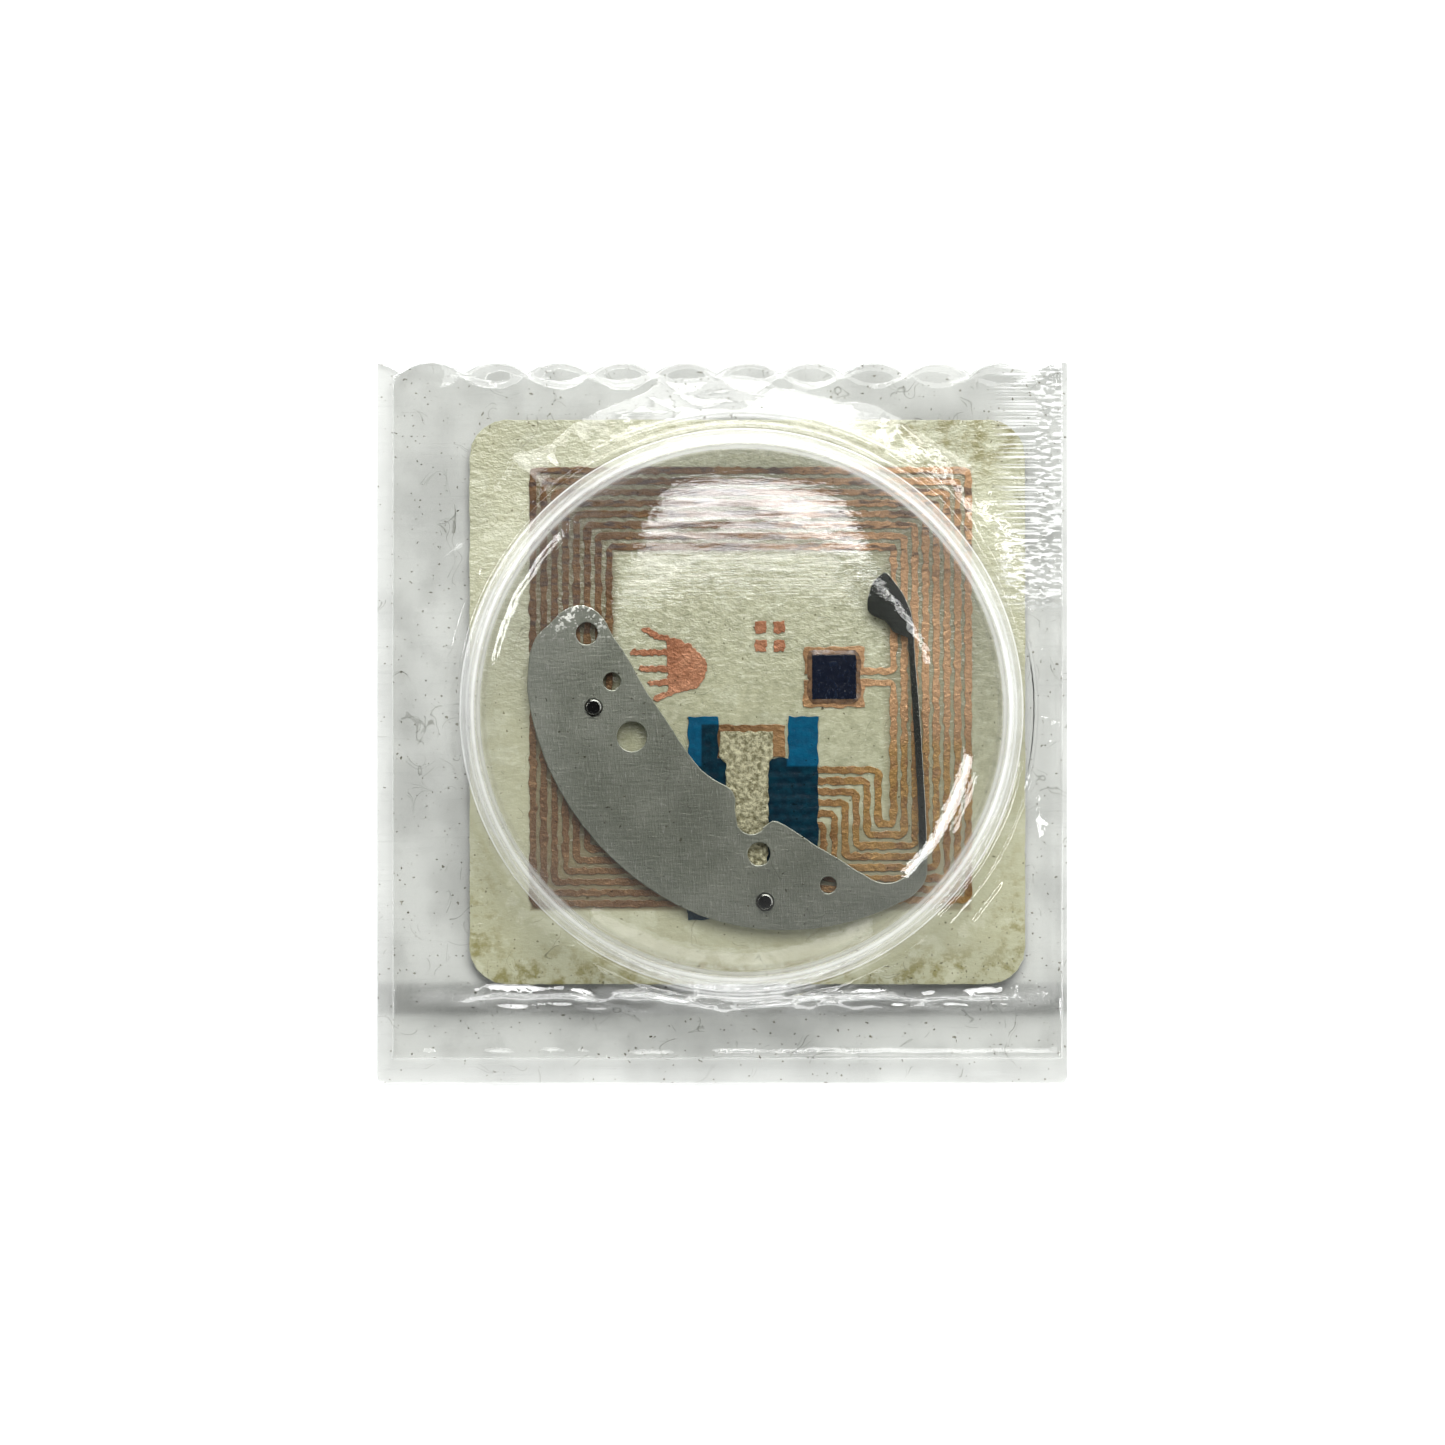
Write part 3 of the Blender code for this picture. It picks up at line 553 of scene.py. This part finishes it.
def pin_look(name, centre, radius, top):
    """Polished pin: painted dark in its hollow for the dark that it reflects, with a painted highlight as a
    bright crescent on one side of its rim.
    """
    look = Look(name)
    # The side of the rim that carries the painted highlight.
    highlight_side = np.array([0.65, 0.76, 0.0])
    along = look.add("ShaderNodeVectorMath", {0: look.mm, 1: tuple(highlight_side)}, operation="DOT_PRODUCT")
    along = look.math("SUBTRACT", along.outputs["Value"], float(highlight_side @ centre))
    rim = look.mix(look.band(along, 0.25 * radius, 0.6 * radius), (0.05, 0.05, 0.045), (0.98, 0.98, 0.95))
    # Painted dark in the hollow for the dark that the polished pin reflects; the rim carries the painted
    # crescent highlight.
    colour = look.mix(look.band(look.z, top - 0.07, top - 0.03), (0.012, 0.012, 0.012), rim)
    normal = look.bump(look.noise(0.2, 2.0), 0.004)
    return look.shade(base_color=colour, metallic=0.9, roughness=0.2, normal=normal)


def die_look():
    """Dark silicon with a worn sheen."""
    look = Look("silicon")
    wear = look.noise(0.2, 4.0, 0.7, look.stretch(1.0, 0.5))
    tone = look.mix(look.band(wear, 0.5, 0.72, 0.0, 0.6), (0.002, 0.004, 0.012), (0.012, 0.02, 0.04))
    normal = look.bump(wear, 0.03)
    return look.shade(base_color=tone, roughness=0.2, specular_ior_level=0.35, normal=normal)


# ---- label stack ---------------------------------------------------------------------------------
def heights(name):
    low, high = cad_box(name)
    return low[2], high[2]


def flat(name, node, slot, material, body="back_card", **options):
    """A slab that stands for one flat node."""
    low, high = heights(node)
    return place(slab(name, top_loops(node), low, high, material, **options), [node], body)


def build_label():
    cream = label_look()
    copper_edge = {"bevel": 0.018, "wave": 0.55, "wobble": 0.042, "step": 0.12}
    orange_edge = {"bevel": 0.018, "wobble": 0.045, "wave": 0.32, "step": 0.07}
    mark_edge = {"bevel": 0.018, "wobble": 0.04, "wave": 0.3, "step": 0.08}
    flat("label_glue", "label_adhesive", "label_adhesive",
         plain_look("glue", (0.66, 0.66, 0.52), 0.4), bevel=0.008, step=0.4)
    flat("label_stock", "label_paper", "label_paper",
         plain_look("paper", (0.6, 0.6, 0.46), 0.8, size=0.15, bump=0.04), bevel=0.02, step=0.2,
         wobble=0.015, wave=0.5)
    flat("label_face", "inlay_film", "inlay_film", cream, bevel=0.015, step=0.2, wobble=0.02, wave=0.7,
         grid=0.32, relief=lambda x, y: 0.005 * (ripple(x, y, 0.9, 11) - 1), seed=4)
    foil = copper_look("copper_brown", 0.0)
    orange = copper_look("copper_orange", 1.0)
    flat("coil", "antenna_coil", "copper", foil, seed=7, **copper_edge)
    flat("return_track", "return_trace", "copper", foil, seed=9, **copper_edge)
    flat("comb", "tuning_comb", "copper", orange, seed=12, **orange_edge)
    for index in range(1, 5):
        flat(f"mark_{index}", f"register_mark_{index}", "copper", orange, seed=20 + index, **mark_edge)


def build_resin():
    """Ragged brown fillet that climbs the chip's sides: rings from its inner foot over to its outer one."""
    low, high = cad_box("chip_underfill")
    middle = (low + high) / 2
    die_low, die_high = cad_box("chip_die")
    rim = (die_high[0] - die_low[0]) / 2
    steps = 48
    inner, outer = 0.62, 1.22
    turn = np.arange(steps) * 2 * math.pi / steps
    square = 1 / np.maximum(np.abs(np.cos(turn)), np.abs(np.sin(turn)))
    points = []
    rings = ((inner, low[2], 0.0), (inner, 0.635, 0.0), (rim - 0.03, 0.64, 0.0), (rim + 0.015, 0.70, 0.25),
             (rim + 0.08, 0.66, 0.5), (rim + 0.16, 0.62, 0.8), (outer, 0.59, 1.0), (outer, low[2], 1.0))
    for reach, height, ragged in rings:
        uneven = 1 + 0.05 * ragged * ripple(np.cos(turn) * 2, np.sin(turn) * 2, 0.9, 31)
        shape = np.minimum(square, 1.3 if reach > rim else 2) * reach * uneven
        shape = np.minimum(shape, (high[0] - middle[0]) * square)
        points += [(middle[0] + s * math.cos(a), middle[1] + s * math.sin(a), height)
                   for s, a in zip(shape, turn)]
    faces = []
    count = len(rings)
    for ring in range(count):
        for i in range(steps):
            j = (i + 1) % steps
            a, b = ring * steps, (ring + 1) % count * steps
            faces.append((a + j, a + i, b + i, b + j))
    resin = plain_look("resin", (0.16, 0.085, 0.04), 0.25, size=0.3, bump=0.05, vary=0.6)
    place(make_mesh("resin_fillet", points, faces, resin), ["chip_underfill"], "back_card")


def build_chip():
    build_resin()
    gold = plain_look("gold", (0.75, 0.55, 0.2), 0.3, metallic=1.0)
    for side in ("upper", "lower"):
        low, high = cad_box(f"chip_bump_{side}")
        centre, radius = (low + high) / 2, (high[0] - low[0]) / 2
        profile = [(radius * 0.8, low[2]), (radius, low[2] + 0.01), (radius, high[2] - 0.01),
                   (radius * 0.8, high[2])]
        place(lathe(f"bump_{side}", centre, profile, 24, gold), [f"chip_bump_{side}"], "back_card")
    flat("die", "chip_die", "silicon", die_look(), bevel=0.02, step=0.12, wobble=0.018, wave=0.35, seed=41)


def ribs(x, y):
    """The blue print sinks a little between the tracks that it covers."""
    over = smooth(-y, -PRINT_TOP, -PRINT_TOP + 0.15) * smooth(y, *PRINT_FOOT)
    sink = np.cos((y - PRINT_TOP) * 2 * math.pi / TRACK_PITCH) - 1
    return 0.012 * over * sink + 0.004 * (ripple(x, y, 0.5, 51) - 1)


def build_prints():
    flat("blue_print", "insulating_bridge", "blue_ink", bridge_look(), bevel=0.02, step=0.12, wobble=0.035,
         wave=0.55, grid=0.12, relief=ribs, seed=52)
    flat("silver_print", "silver_jumper", "silver_ink", jumper_look(), bevel=0.03, step=0.09, wobble=0.035,
         wave=0.4, grid=0.085, relief=lambda x, y: 0.030 * ripple(x, y, 0.28, 61, 24), sharp=80, seed=62)


# ---- steel parts ---------------------------------------------------------------------------------
def steel_outline():
    """Crescent and arm as one outline, the crescent's holes, and the middle of the arm's root."""
    plate = top_loops("calendar_plate")
    arm = top_loops("spring_arm")[0]
    outer, holes = plate[0], plate[1:]
    low_y = arm[:, 1].min()
    roots = [i for i in range(len(arm)) if arm[i, 1] < low_y + 1e-3]
    right, left = sorted(roots, key=lambda i: -arm[i, 0])[:2]
    arm = np.roll(arm, -right, 0)
    left = (left - right) % len(arm)
    arm = arm[:left + 1]
    join_right = int(np.argmin(np.hypot(*(outer - arm[0]).T)))
    join_left = int(np.argmin(np.hypot(*(outer - arm[-1]).T)))
    outer = np.roll(outer, -join_left, 0)
    join_right = (join_right - join_left) % len(outer)
    return np.concatenate([outer[:join_right + 1], arm]), holes, arm[[0, -1]].mean(0)


def build_steel():
    """Crescent and spring arm as one bent blank, with the pins in it."""
    blank, holes, (root_x, root_y) = steel_outline()
    low, high = heights("calendar_plate")
    piece = slab("steel_blank", [blank, *holes], low, high, steel_look(), bevel=0.035, step=0.1,
                 wobble=0.006, wave=0.7, seed=71)
    places = np.array([v.co for v in piece.data.vertices]) / MM
    # The normal's sideways lean at rest places the painted highlight on the spring's right-facing sides.
    leans = np.array([v.normal.x for v in piece.data.vertices])
    held = piece.data.attributes.new("rest_place", "FLOAT_VECTOR", "POINT")
    held.data.foreach_set("vector", places.ravel())
    held = piece.data.attributes.new("rest_lean", "FLOAT", "POINT")
    held.data.foreach_set("value", leans)
    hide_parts("calendar_plate", "spring_arm")
    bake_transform(piece)

    for side in ("upper", "lower"):
        name = f"steady_pin_{side}"
        low, high = cad_box(name)
        centre, radius, top = (low + high) / 2, (high[0] - low[0]) / 2, high[2]
        polish = pin_look(f"pin_head_{side}", centre, radius, top)
        profile = [(radius * 0.9, low[2]), (radius, low[2] + 0.03), (radius, top - 0.10),
                   (radius * 0.97, top - 0.04), (radius * 0.9, top), (radius * 0.8, top - 0.02),
                   (radius * 0.72, top - 0.09), (radius * 0.5, top - 0.10), (radius * 0.2, top - 0.09)]
        place(lathe(f"pin_{side}", centre, profile, 40, polish), [name], "steel_plate")


# ---- clear shell ---------------------------------------------------------------------------------
DOME_LOW, DOME_HIGH = cad_box("blister_shell")
# The cap's steepness in degrees at each radius, then the wall's at each length along it.
SLOPES = ((0, 0), (4, 2), (5.8, 5), (6.8, 8), (8, 13), (9, 19), (10, 26.5), (10.4, 31), (11.0, 36),
          (11.5, 43), (11.9, 53), (12.12, 64))
WALL = ((0, 64), (0.25, 70), (1.1, 70), (1.32, 58), (1.52, 40), (1.72, 22), (2.1, 10))
# Ridges along the bottom seal: place, sway, thickness, height, seed, least strength, solid at the right.
RIDGES = (
    (-12.2, 0.16, 0.16, 0.20, 84, 0.6, 0),
    (-12.7, 0.2, 0.14, 0.13, 85, 0.6, 0),
    (-14.9, 0.05, 0.15, 0.13, 86, 0, 1),
    (-13.5, 0.3, 0.15, 0.03, 87, 0, 0),
)


def across_bead(x):
    """-1 to 1 from one junction of the scallops to the next."""
    return 2 * (((x - JUNCTION) / PITCH) % 1.0) - 1


def scallop(x):
    return DOME_HIGH[1] - DEPTH * across_bead(x) ** 2


def dome_rings():
    """Radius and height pairs from the crown to the dome's foot."""
    r = np.linspace(0, SLOPES[-1][0], 500)
    tangent = np.tan(np.radians(np.interp(r, *zip(*SLOPES))))
    sink = np.cumsum((tangent[1:] + tangent[:-1]) / 2 * np.diff(r))
    z = DOME_HIGH[2] - 0.004 - np.concatenate([[0], sink])
    along = np.linspace(0, WALL[-1][0], 300)
    angle = np.radians(np.interp(along, *zip(*WALL)))
    step = along[1] - along[0]
    wall_r = r[-1] + np.cumsum(np.cos(angle)) * step
    wall_z = z[-1] - np.cumsum(np.sin(angle)) * step
    r, z = np.concatenate([r, wall_r]), np.concatenate([z, wall_z])
    length = np.concatenate([[0], np.cumsum(np.hypot(np.diff(r), np.diff(z)))])
    marks = np.concatenate([np.linspace(0.3, 6.5, 9), np.linspace(7.0, 11.6, 12),
                            np.linspace(11.8, length[-1], 22)])
    r, z = np.interp(marks, length, r), np.interp(marks, length, z)
    keep = r < DOME_EDGE - 0.02
    return r[keep], z[keep]


def border(turns):
    """Distance from the dome's middle to the sheet's edge for each direction."""
    reach = np.full(len(turns), 40.0)
    c, s = np.cos(turns), np.sin(turns)
    for side, value, start in ((c, DOME_HIGH[0], 0), (c, DOME_LOW[0], 0), (s, DOME_LOW[1], 1)):
        way = (value - CENTRE[start]) / np.where(np.abs(side) < 1e-9, 1e-9, side)
        reach = np.where((way > 0) & (way < reach), way, reach)
    top = np.where(s > 0.05, (DOME_HIGH[1] - CENTRE[1]) / np.maximum(s, 0.05), 99)
    for _ in range(12):
        top = np.where(s > 0.05, (scallop(CENTRE[0] + c * top) - CENTRE[1]) / np.maximum(s, 0.05), 99)
    return np.minimum(reach, top)


def tear_beads(x, y):
    """Lens-shaped hollows under the tear edge, weaker to the right, with a ridge below each."""
    upper = scallop(x)
    lower = DOME_HIGH[1] - 0.59 - 0.58 * (1 - across_bead(x) ** 2)
    half = np.maximum((upper - lower) / 2, 0.02)
    off = np.clip(np.abs(y - (upper + lower) / 2) / half, 0, 1)
    strength = 1 - 0.65 * smooth(x, 2.5, 6.0)
    hollow = 0.055 * strength * (1 - off ** 4) * (half / BEAD) ** 0.8
    return 0.03 * np.exp(-((y - lower + 0.12) / 0.09) ** 2) * (0.6 + 0.4 * ripple(x, y, 0.8, 83)) - hollow


def seal_creases(x, y):
    """Wavy ridges along the bottom seal."""
    z = 0
    for level, sway, thick, tall, seed, least, solid in RIDGES:
        line = level + sway * ripple(x, x * 0, 2.6, seed) + 0.04 * ripple(x, x * 0, 0.6, seed + 20)
        patchy = smooth(ripple(x, x * 0, 2.2, seed + 40) + 0.8 * smooth(x, -2, 5), -0.4, 0.6)
        patchy = np.maximum(np.maximum(patchy, solid * smooth(x, 1.8, 2.8)), least)
        z = z + tall * patchy * np.exp(-((y - line) / thick) ** 2)
    return z


def stretch_marks(x, y):
    """Fine level wrinkles at the upper right and a rippled patch between the dome and the beads."""
    zone = smooth(x, 11.2, 13.6) * smooth(y, 4.8, 6.0) * smooth(-y, -13.9, -13.0)
    sizes = np.linspace(0.24, 0.52, 8)
    shifts = np.random.RandomState(88).uniform(0, 6.3, len(sizes))
    z = 0
    for size, shift in zip(sizes, shifts):
        z = z + 0.0055 * zone * np.cos(2 * math.pi * y / size + shift + 0.3 * np.sin(0.5 * x + shift))
    patch = np.exp(-((x + 1.8) / 2.4) ** 2 - ((y - 14.3) / 0.5) ** 2)
    return z + 0.014 * patch * ripple(x * 0.3, y, 0.4, 89)


def pull_fold(x, y):
    """A short fold at the lower right, where the sheet pulls towards the dome."""
    way = math.radians(52)
    along = (x - 11.7) * math.cos(way) + (y + 8.1) * math.sin(way)
    across = (x - 11.7) * math.sin(way) - (y + 8.1) * math.cos(way)
    return 0.11 * np.exp(-(across / 0.16) ** 2) * smooth(-np.abs(along), -1.5, -1.0)


def sheet_height(x, y, foot):
    """Upper skin outside the dome: bed, slope round the dome, tear beads, seal creases and ripples."""
    r = np.hypot(x - CENTRE[0], y - CENTRE[1])
    turn = np.arctan2(y - CENTRE[1], x - CENTRE[0])
    bed_line = -12.35 + 0.12 * ripple(x, x * 0, 1.7, 81)
    bed = smooth(x, -14.8, -12.4) * smooth(-x, -15.2, -13.9) * smooth(y, bed_line - 0.3, bed_line + 0.3)
    z = SEAM_HEIGHT + BED_RISE * bed
    round_x, round_y = np.cos(turn) * 15, np.sin(turn) * 15
    width = 1.75 + 0.30 * ripple(round_x, round_y, 3.6, 82) + 0.05 * ripple(round_x, round_y, 0.9, 80)
    fall = np.clip(1 - (r - DOME_EDGE) / width, 0, 1)
    z = z + (foot - SEAM_HEIGHT - BED_RISE) * fall ** 1.08
    z = z + 0.085 * np.exp(-((r - DOME_EDGE - 0.13) / 0.085) ** 2)
    seal = np.exp(-((r - 13.6) / 0.35) ** 2) * smooth(np.cos(turn + 0.35), 0.2, 0.75)
    z = z + 0.022 * seal * ripple(x, y, 0.42, 90, 24)
    z = z + 0.010 * ripple(x, y, 4.5, 91) + 0.0016 * ripple(x, y, 0.8, 92)
    return z + tear_beads(x, y) + seal_creases(x, y) + stretch_marks(x, y) + pull_fold(x, y)


def directions():
    """Directions from the dome's middle, closer to each other at the upper right, through every corner."""
    angle = np.linspace(-math.pi, math.pi, 4000)
    weight = np.cumsum(1 + 0.9 * ((angle > 0.1) & (angle < 2.3)))
    turns = np.interp(np.linspace(0, weight[-1], 650)[:-1], weight, angle)
    corners = [(x, y) for x in (DOME_LOW[0], DOME_HIGH[0]) for y in (DOME_LOW[1], scallop(x))]
    corners += [(JUNCTION + PITCH * k, DOME_HIGH[1] - DEPTH) for k in range(11)]
    for x, y in corners:
        exact = math.atan2(y - CENTRE[1], x - CENTRE[0])
        turns[int(np.argmin(np.abs(turns - exact)))] = exact
    return np.sort(turns)


def outer_skin(turns):
    """Rings of the upper skin, from the crown out to the border, and how many of them the dome has."""
    radii, rises = dome_rings()
    foot = rises[-1]
    reach = border(turns)
    count = len(turns)
    c, s = np.cos(turns), np.sin(turns)
    rings = [np.column_stack([CENTRE[0] + r * c, CENTRE[1] + r * s, np.full(count, z)])
             for r, z in zip(radii, rises)]
    last = radii[-1]
    for t in np.linspace(0, 1, 57)[1:]:
        r = last + (reach - last) * t
        x, y = CENTRE[0] + r * c, CENTRE[1] + r * s
        drop = 0.12 * np.exp(-((reach - r) / 0.09) ** 2)
        rings.append(np.column_stack([x, y, sheet_height(x, y, foot) - drop]))
    return np.array(rings), len(radii)


def inner_skin(outer, dome_count):
    """The lower skin: the upper one smoothed outside the dome, one thickness below it and over the film."""
    base = outer.copy()
    for _ in range(14):
        middle = base[dome_count:-1]
        base[dome_count:-1] = (base[dome_count - 1:-2] + 2 * middle + base[dome_count + 1:]) / 4
    across = np.gradient(base, axis=0)
    around = np.roll(base, -1, 1) - np.roll(base, 1, 1)
    normal = np.cross(across, around)
    normal /= np.linalg.norm(normal, axis=2)[:, :, None]
    inner = base - normal * SHEET
    inner[:, :, :2] = np.clip(inner[:, :, :2], DOME_LOW[:2], DOME_HIGH[:2])
    inner[-1, :, :2] = outer[-1, :, :2]
    inner[:, :, 2] = np.maximum(inner[:, :, 2], DOME_LOW[2])
    return inner


def build_shell(material):
    turns = directions()
    count = len(turns)
    outer, dome_count = outer_skin(turns)
    inner = inner_skin(outer, dome_count)
    layers = len(outer)
    picked = list(range(0, layers - 1, 2)) + [layers - 1]
    crown = np.array([CENTRE[0], CENTRE[1], DOME_HIGH[2] - 0.003])
    points = np.concatenate([crown[None], outer.reshape(-1, 3), (crown - (0, 0, SHEET))[None],
                             inner[picked].reshape(-1, 3)])
    faces = []
    i = np.arange(count)
    j = (i + 1) % count

    def skin(first, rings, flip):
        start = first + 1
        fan = np.column_stack([np.full(count, first), start + i, start + j])
        faces.extend(fan[:, ::-1] if flip else fan)
        for k in range(rings - 1):
            a = start + k * count
            quad = np.column_stack([a + i, a + count + i, a + count + j, a + j])
            faces.extend(quad[:, ::-1] if flip else quad)
        return start + (rings - 1) * count

    upper_edge = skin(0, layers, False)
    lower_edge = skin(1 + layers * count, len(picked), True)
    faces.extend(np.column_stack([upper_edge + i, lower_edge + i, lower_edge + j, upper_edge + j]))
    shell = make_mesh("clear_shell_sheet", points, faces, material, sharp=60)
    return place(shell, ["blister_shell"], "clear_shell")


def build_pack():
    film_look = clear_look("film_plastic", (0.925, 0.929, 0.920), 0.002, 0.03)
    shell_look = clear_look("shell_plastic", (0.995, 0.996, 0.991), 0.0005, 0.003, 0.6)
    flat("back_film", "backing_film", "clear_film", film_look, bevel=0.05, step=0.3, grid=0.8, seed=95)
    build_shell(shell_look)


# ---- studio --------------------------------------------------------------------------------------
VIEW_HEIGHT = 220.0
VIEW_WIDTH = 65.03
PACK_TOP = 0.5
LAMP_DISTANCE = 200.0
# Lamps: azimuth and angle from straight up in degrees, width, height, radiance.
LAMPS = {
    "window": (85, 47, 152, 92, 10.0),
    "window_low": (92, 24, 118, 64, 4.2),
    "strip_right": (-28, 62, 110, 22, 20.0),
    "strip_right_low": (-22, 72, 50, 8, 16.0),
    "strip_left": (152, 80, 110, 14, 20.0),
    "slit_top": (106, 16.5, 55, 4, 10.0),
    "slit_right": (40, 34, 104, 6, 14.0),
    "fill": (-92, 80, 260, 70, 2.4),
}
# Room brightness against the height that a direction climbs to.
ROOM = ((0.0, 0.8), (0.45, 0.62), (0.80, 0.42), (0.93, 0.05), (1.0, 0.015))


def soft_light(name, azimuth, zenith, width, height, radiance):
    """A flat lamp aimed at the pack."""
    a, e = math.radians(azimuth), math.radians(zenith)
    data = bpy.data.lights.new(name, "AREA")
    data.shape = "RECTANGLE"
    data.size, data.size_y = width * MM, height * MM
    data.energy = radiance * math.pi * width * height * MM * MM
    item = bpy.data.objects.new(name, data)
    bpy.context.scene.collection.objects.link(item)
    way = Vector((math.sin(e) * math.cos(a), math.sin(e) * math.sin(a), math.cos(e)))
    spot = way * LAMP_DISTANCE * MM
    item.location = spot
    item.rotation_euler = spot.to_track_quat("Z", "Y").to_euler()


def build_floor():
    mesh = bpy.data.meshes.new("floor")
    side, level = 1.2, -0.00002
    corners = [(-side, -side, level), (side, -side, level), (side, side, level), (-side, side, level)]
    mesh.from_pydata(corners, [], [(0, 1, 2, 3)])
    look = Look("floor_paint")
    tone = look.mix(look.noise(60.0, 2.0), (0.86, 0.86, 0.86), (0.88, 0.88, 0.88))
    mesh.materials.append(look.shade(base_color=tone, roughness=0.9))
    floor = bpy.data.objects.new("floor", mesh)
    bpy.context.scene.collection.objects.link(floor)


def build_room():
    """Pale towards the horizon and dark overhead, so that level plastic stays clear from above."""
    world = bpy.data.worlds.new("room")
    world.use_nodes = True
    tree = world.node_tree
    way = tree.nodes.new("ShaderNodeTexCoord")
    parts = tree.nodes.new("ShaderNodeSeparateXYZ")
    tone = tree.nodes.new("ShaderNodeValToRGB")
    tree.links.new(way.outputs["Generated"], parts.inputs[0])
    tree.links.new(parts.outputs[2], tone.inputs[0])
    tree.links.new(tone.outputs[0], tree.nodes["Background"].inputs[0])
    for index, (height, grey) in enumerate(ROOM):
        stop = tone.color_ramp.elements[index] if index < 2 else tone.color_ramp.elements.new(height)
        stop.position = height
        stop.color = (grey * 0.98, grey, grey, 1)
    bpy.context.scene.world = world


def build_camera():
    """Straight above the pack."""
    camera = bpy.data.cameras.new("camera")
    camera.sensor_width = 36.0
    camera.lens = camera.sensor_width * VIEW_HEIGHT / VIEW_WIDTH
    camera.clip_start, camera.clip_end = 0.01, 10
    eye = bpy.data.objects.new("camera", camera)
    eye.location = (0, 0, (VIEW_HEIGHT + PACK_TOP) * MM)
    bpy.context.scene.collection.objects.link(eye)
    bpy.context.scene.camera = eye
    bpy.context.scene.view_settings.view_transform = "Standard"


def build_studio():
    build_floor()
    for name, lamp in LAMPS.items():
        soft_light(name, *lamp)
    build_room()
    build_camera()


build_label()
build_chip()
build_prints()
build_steel()
build_pack()
build_studio()
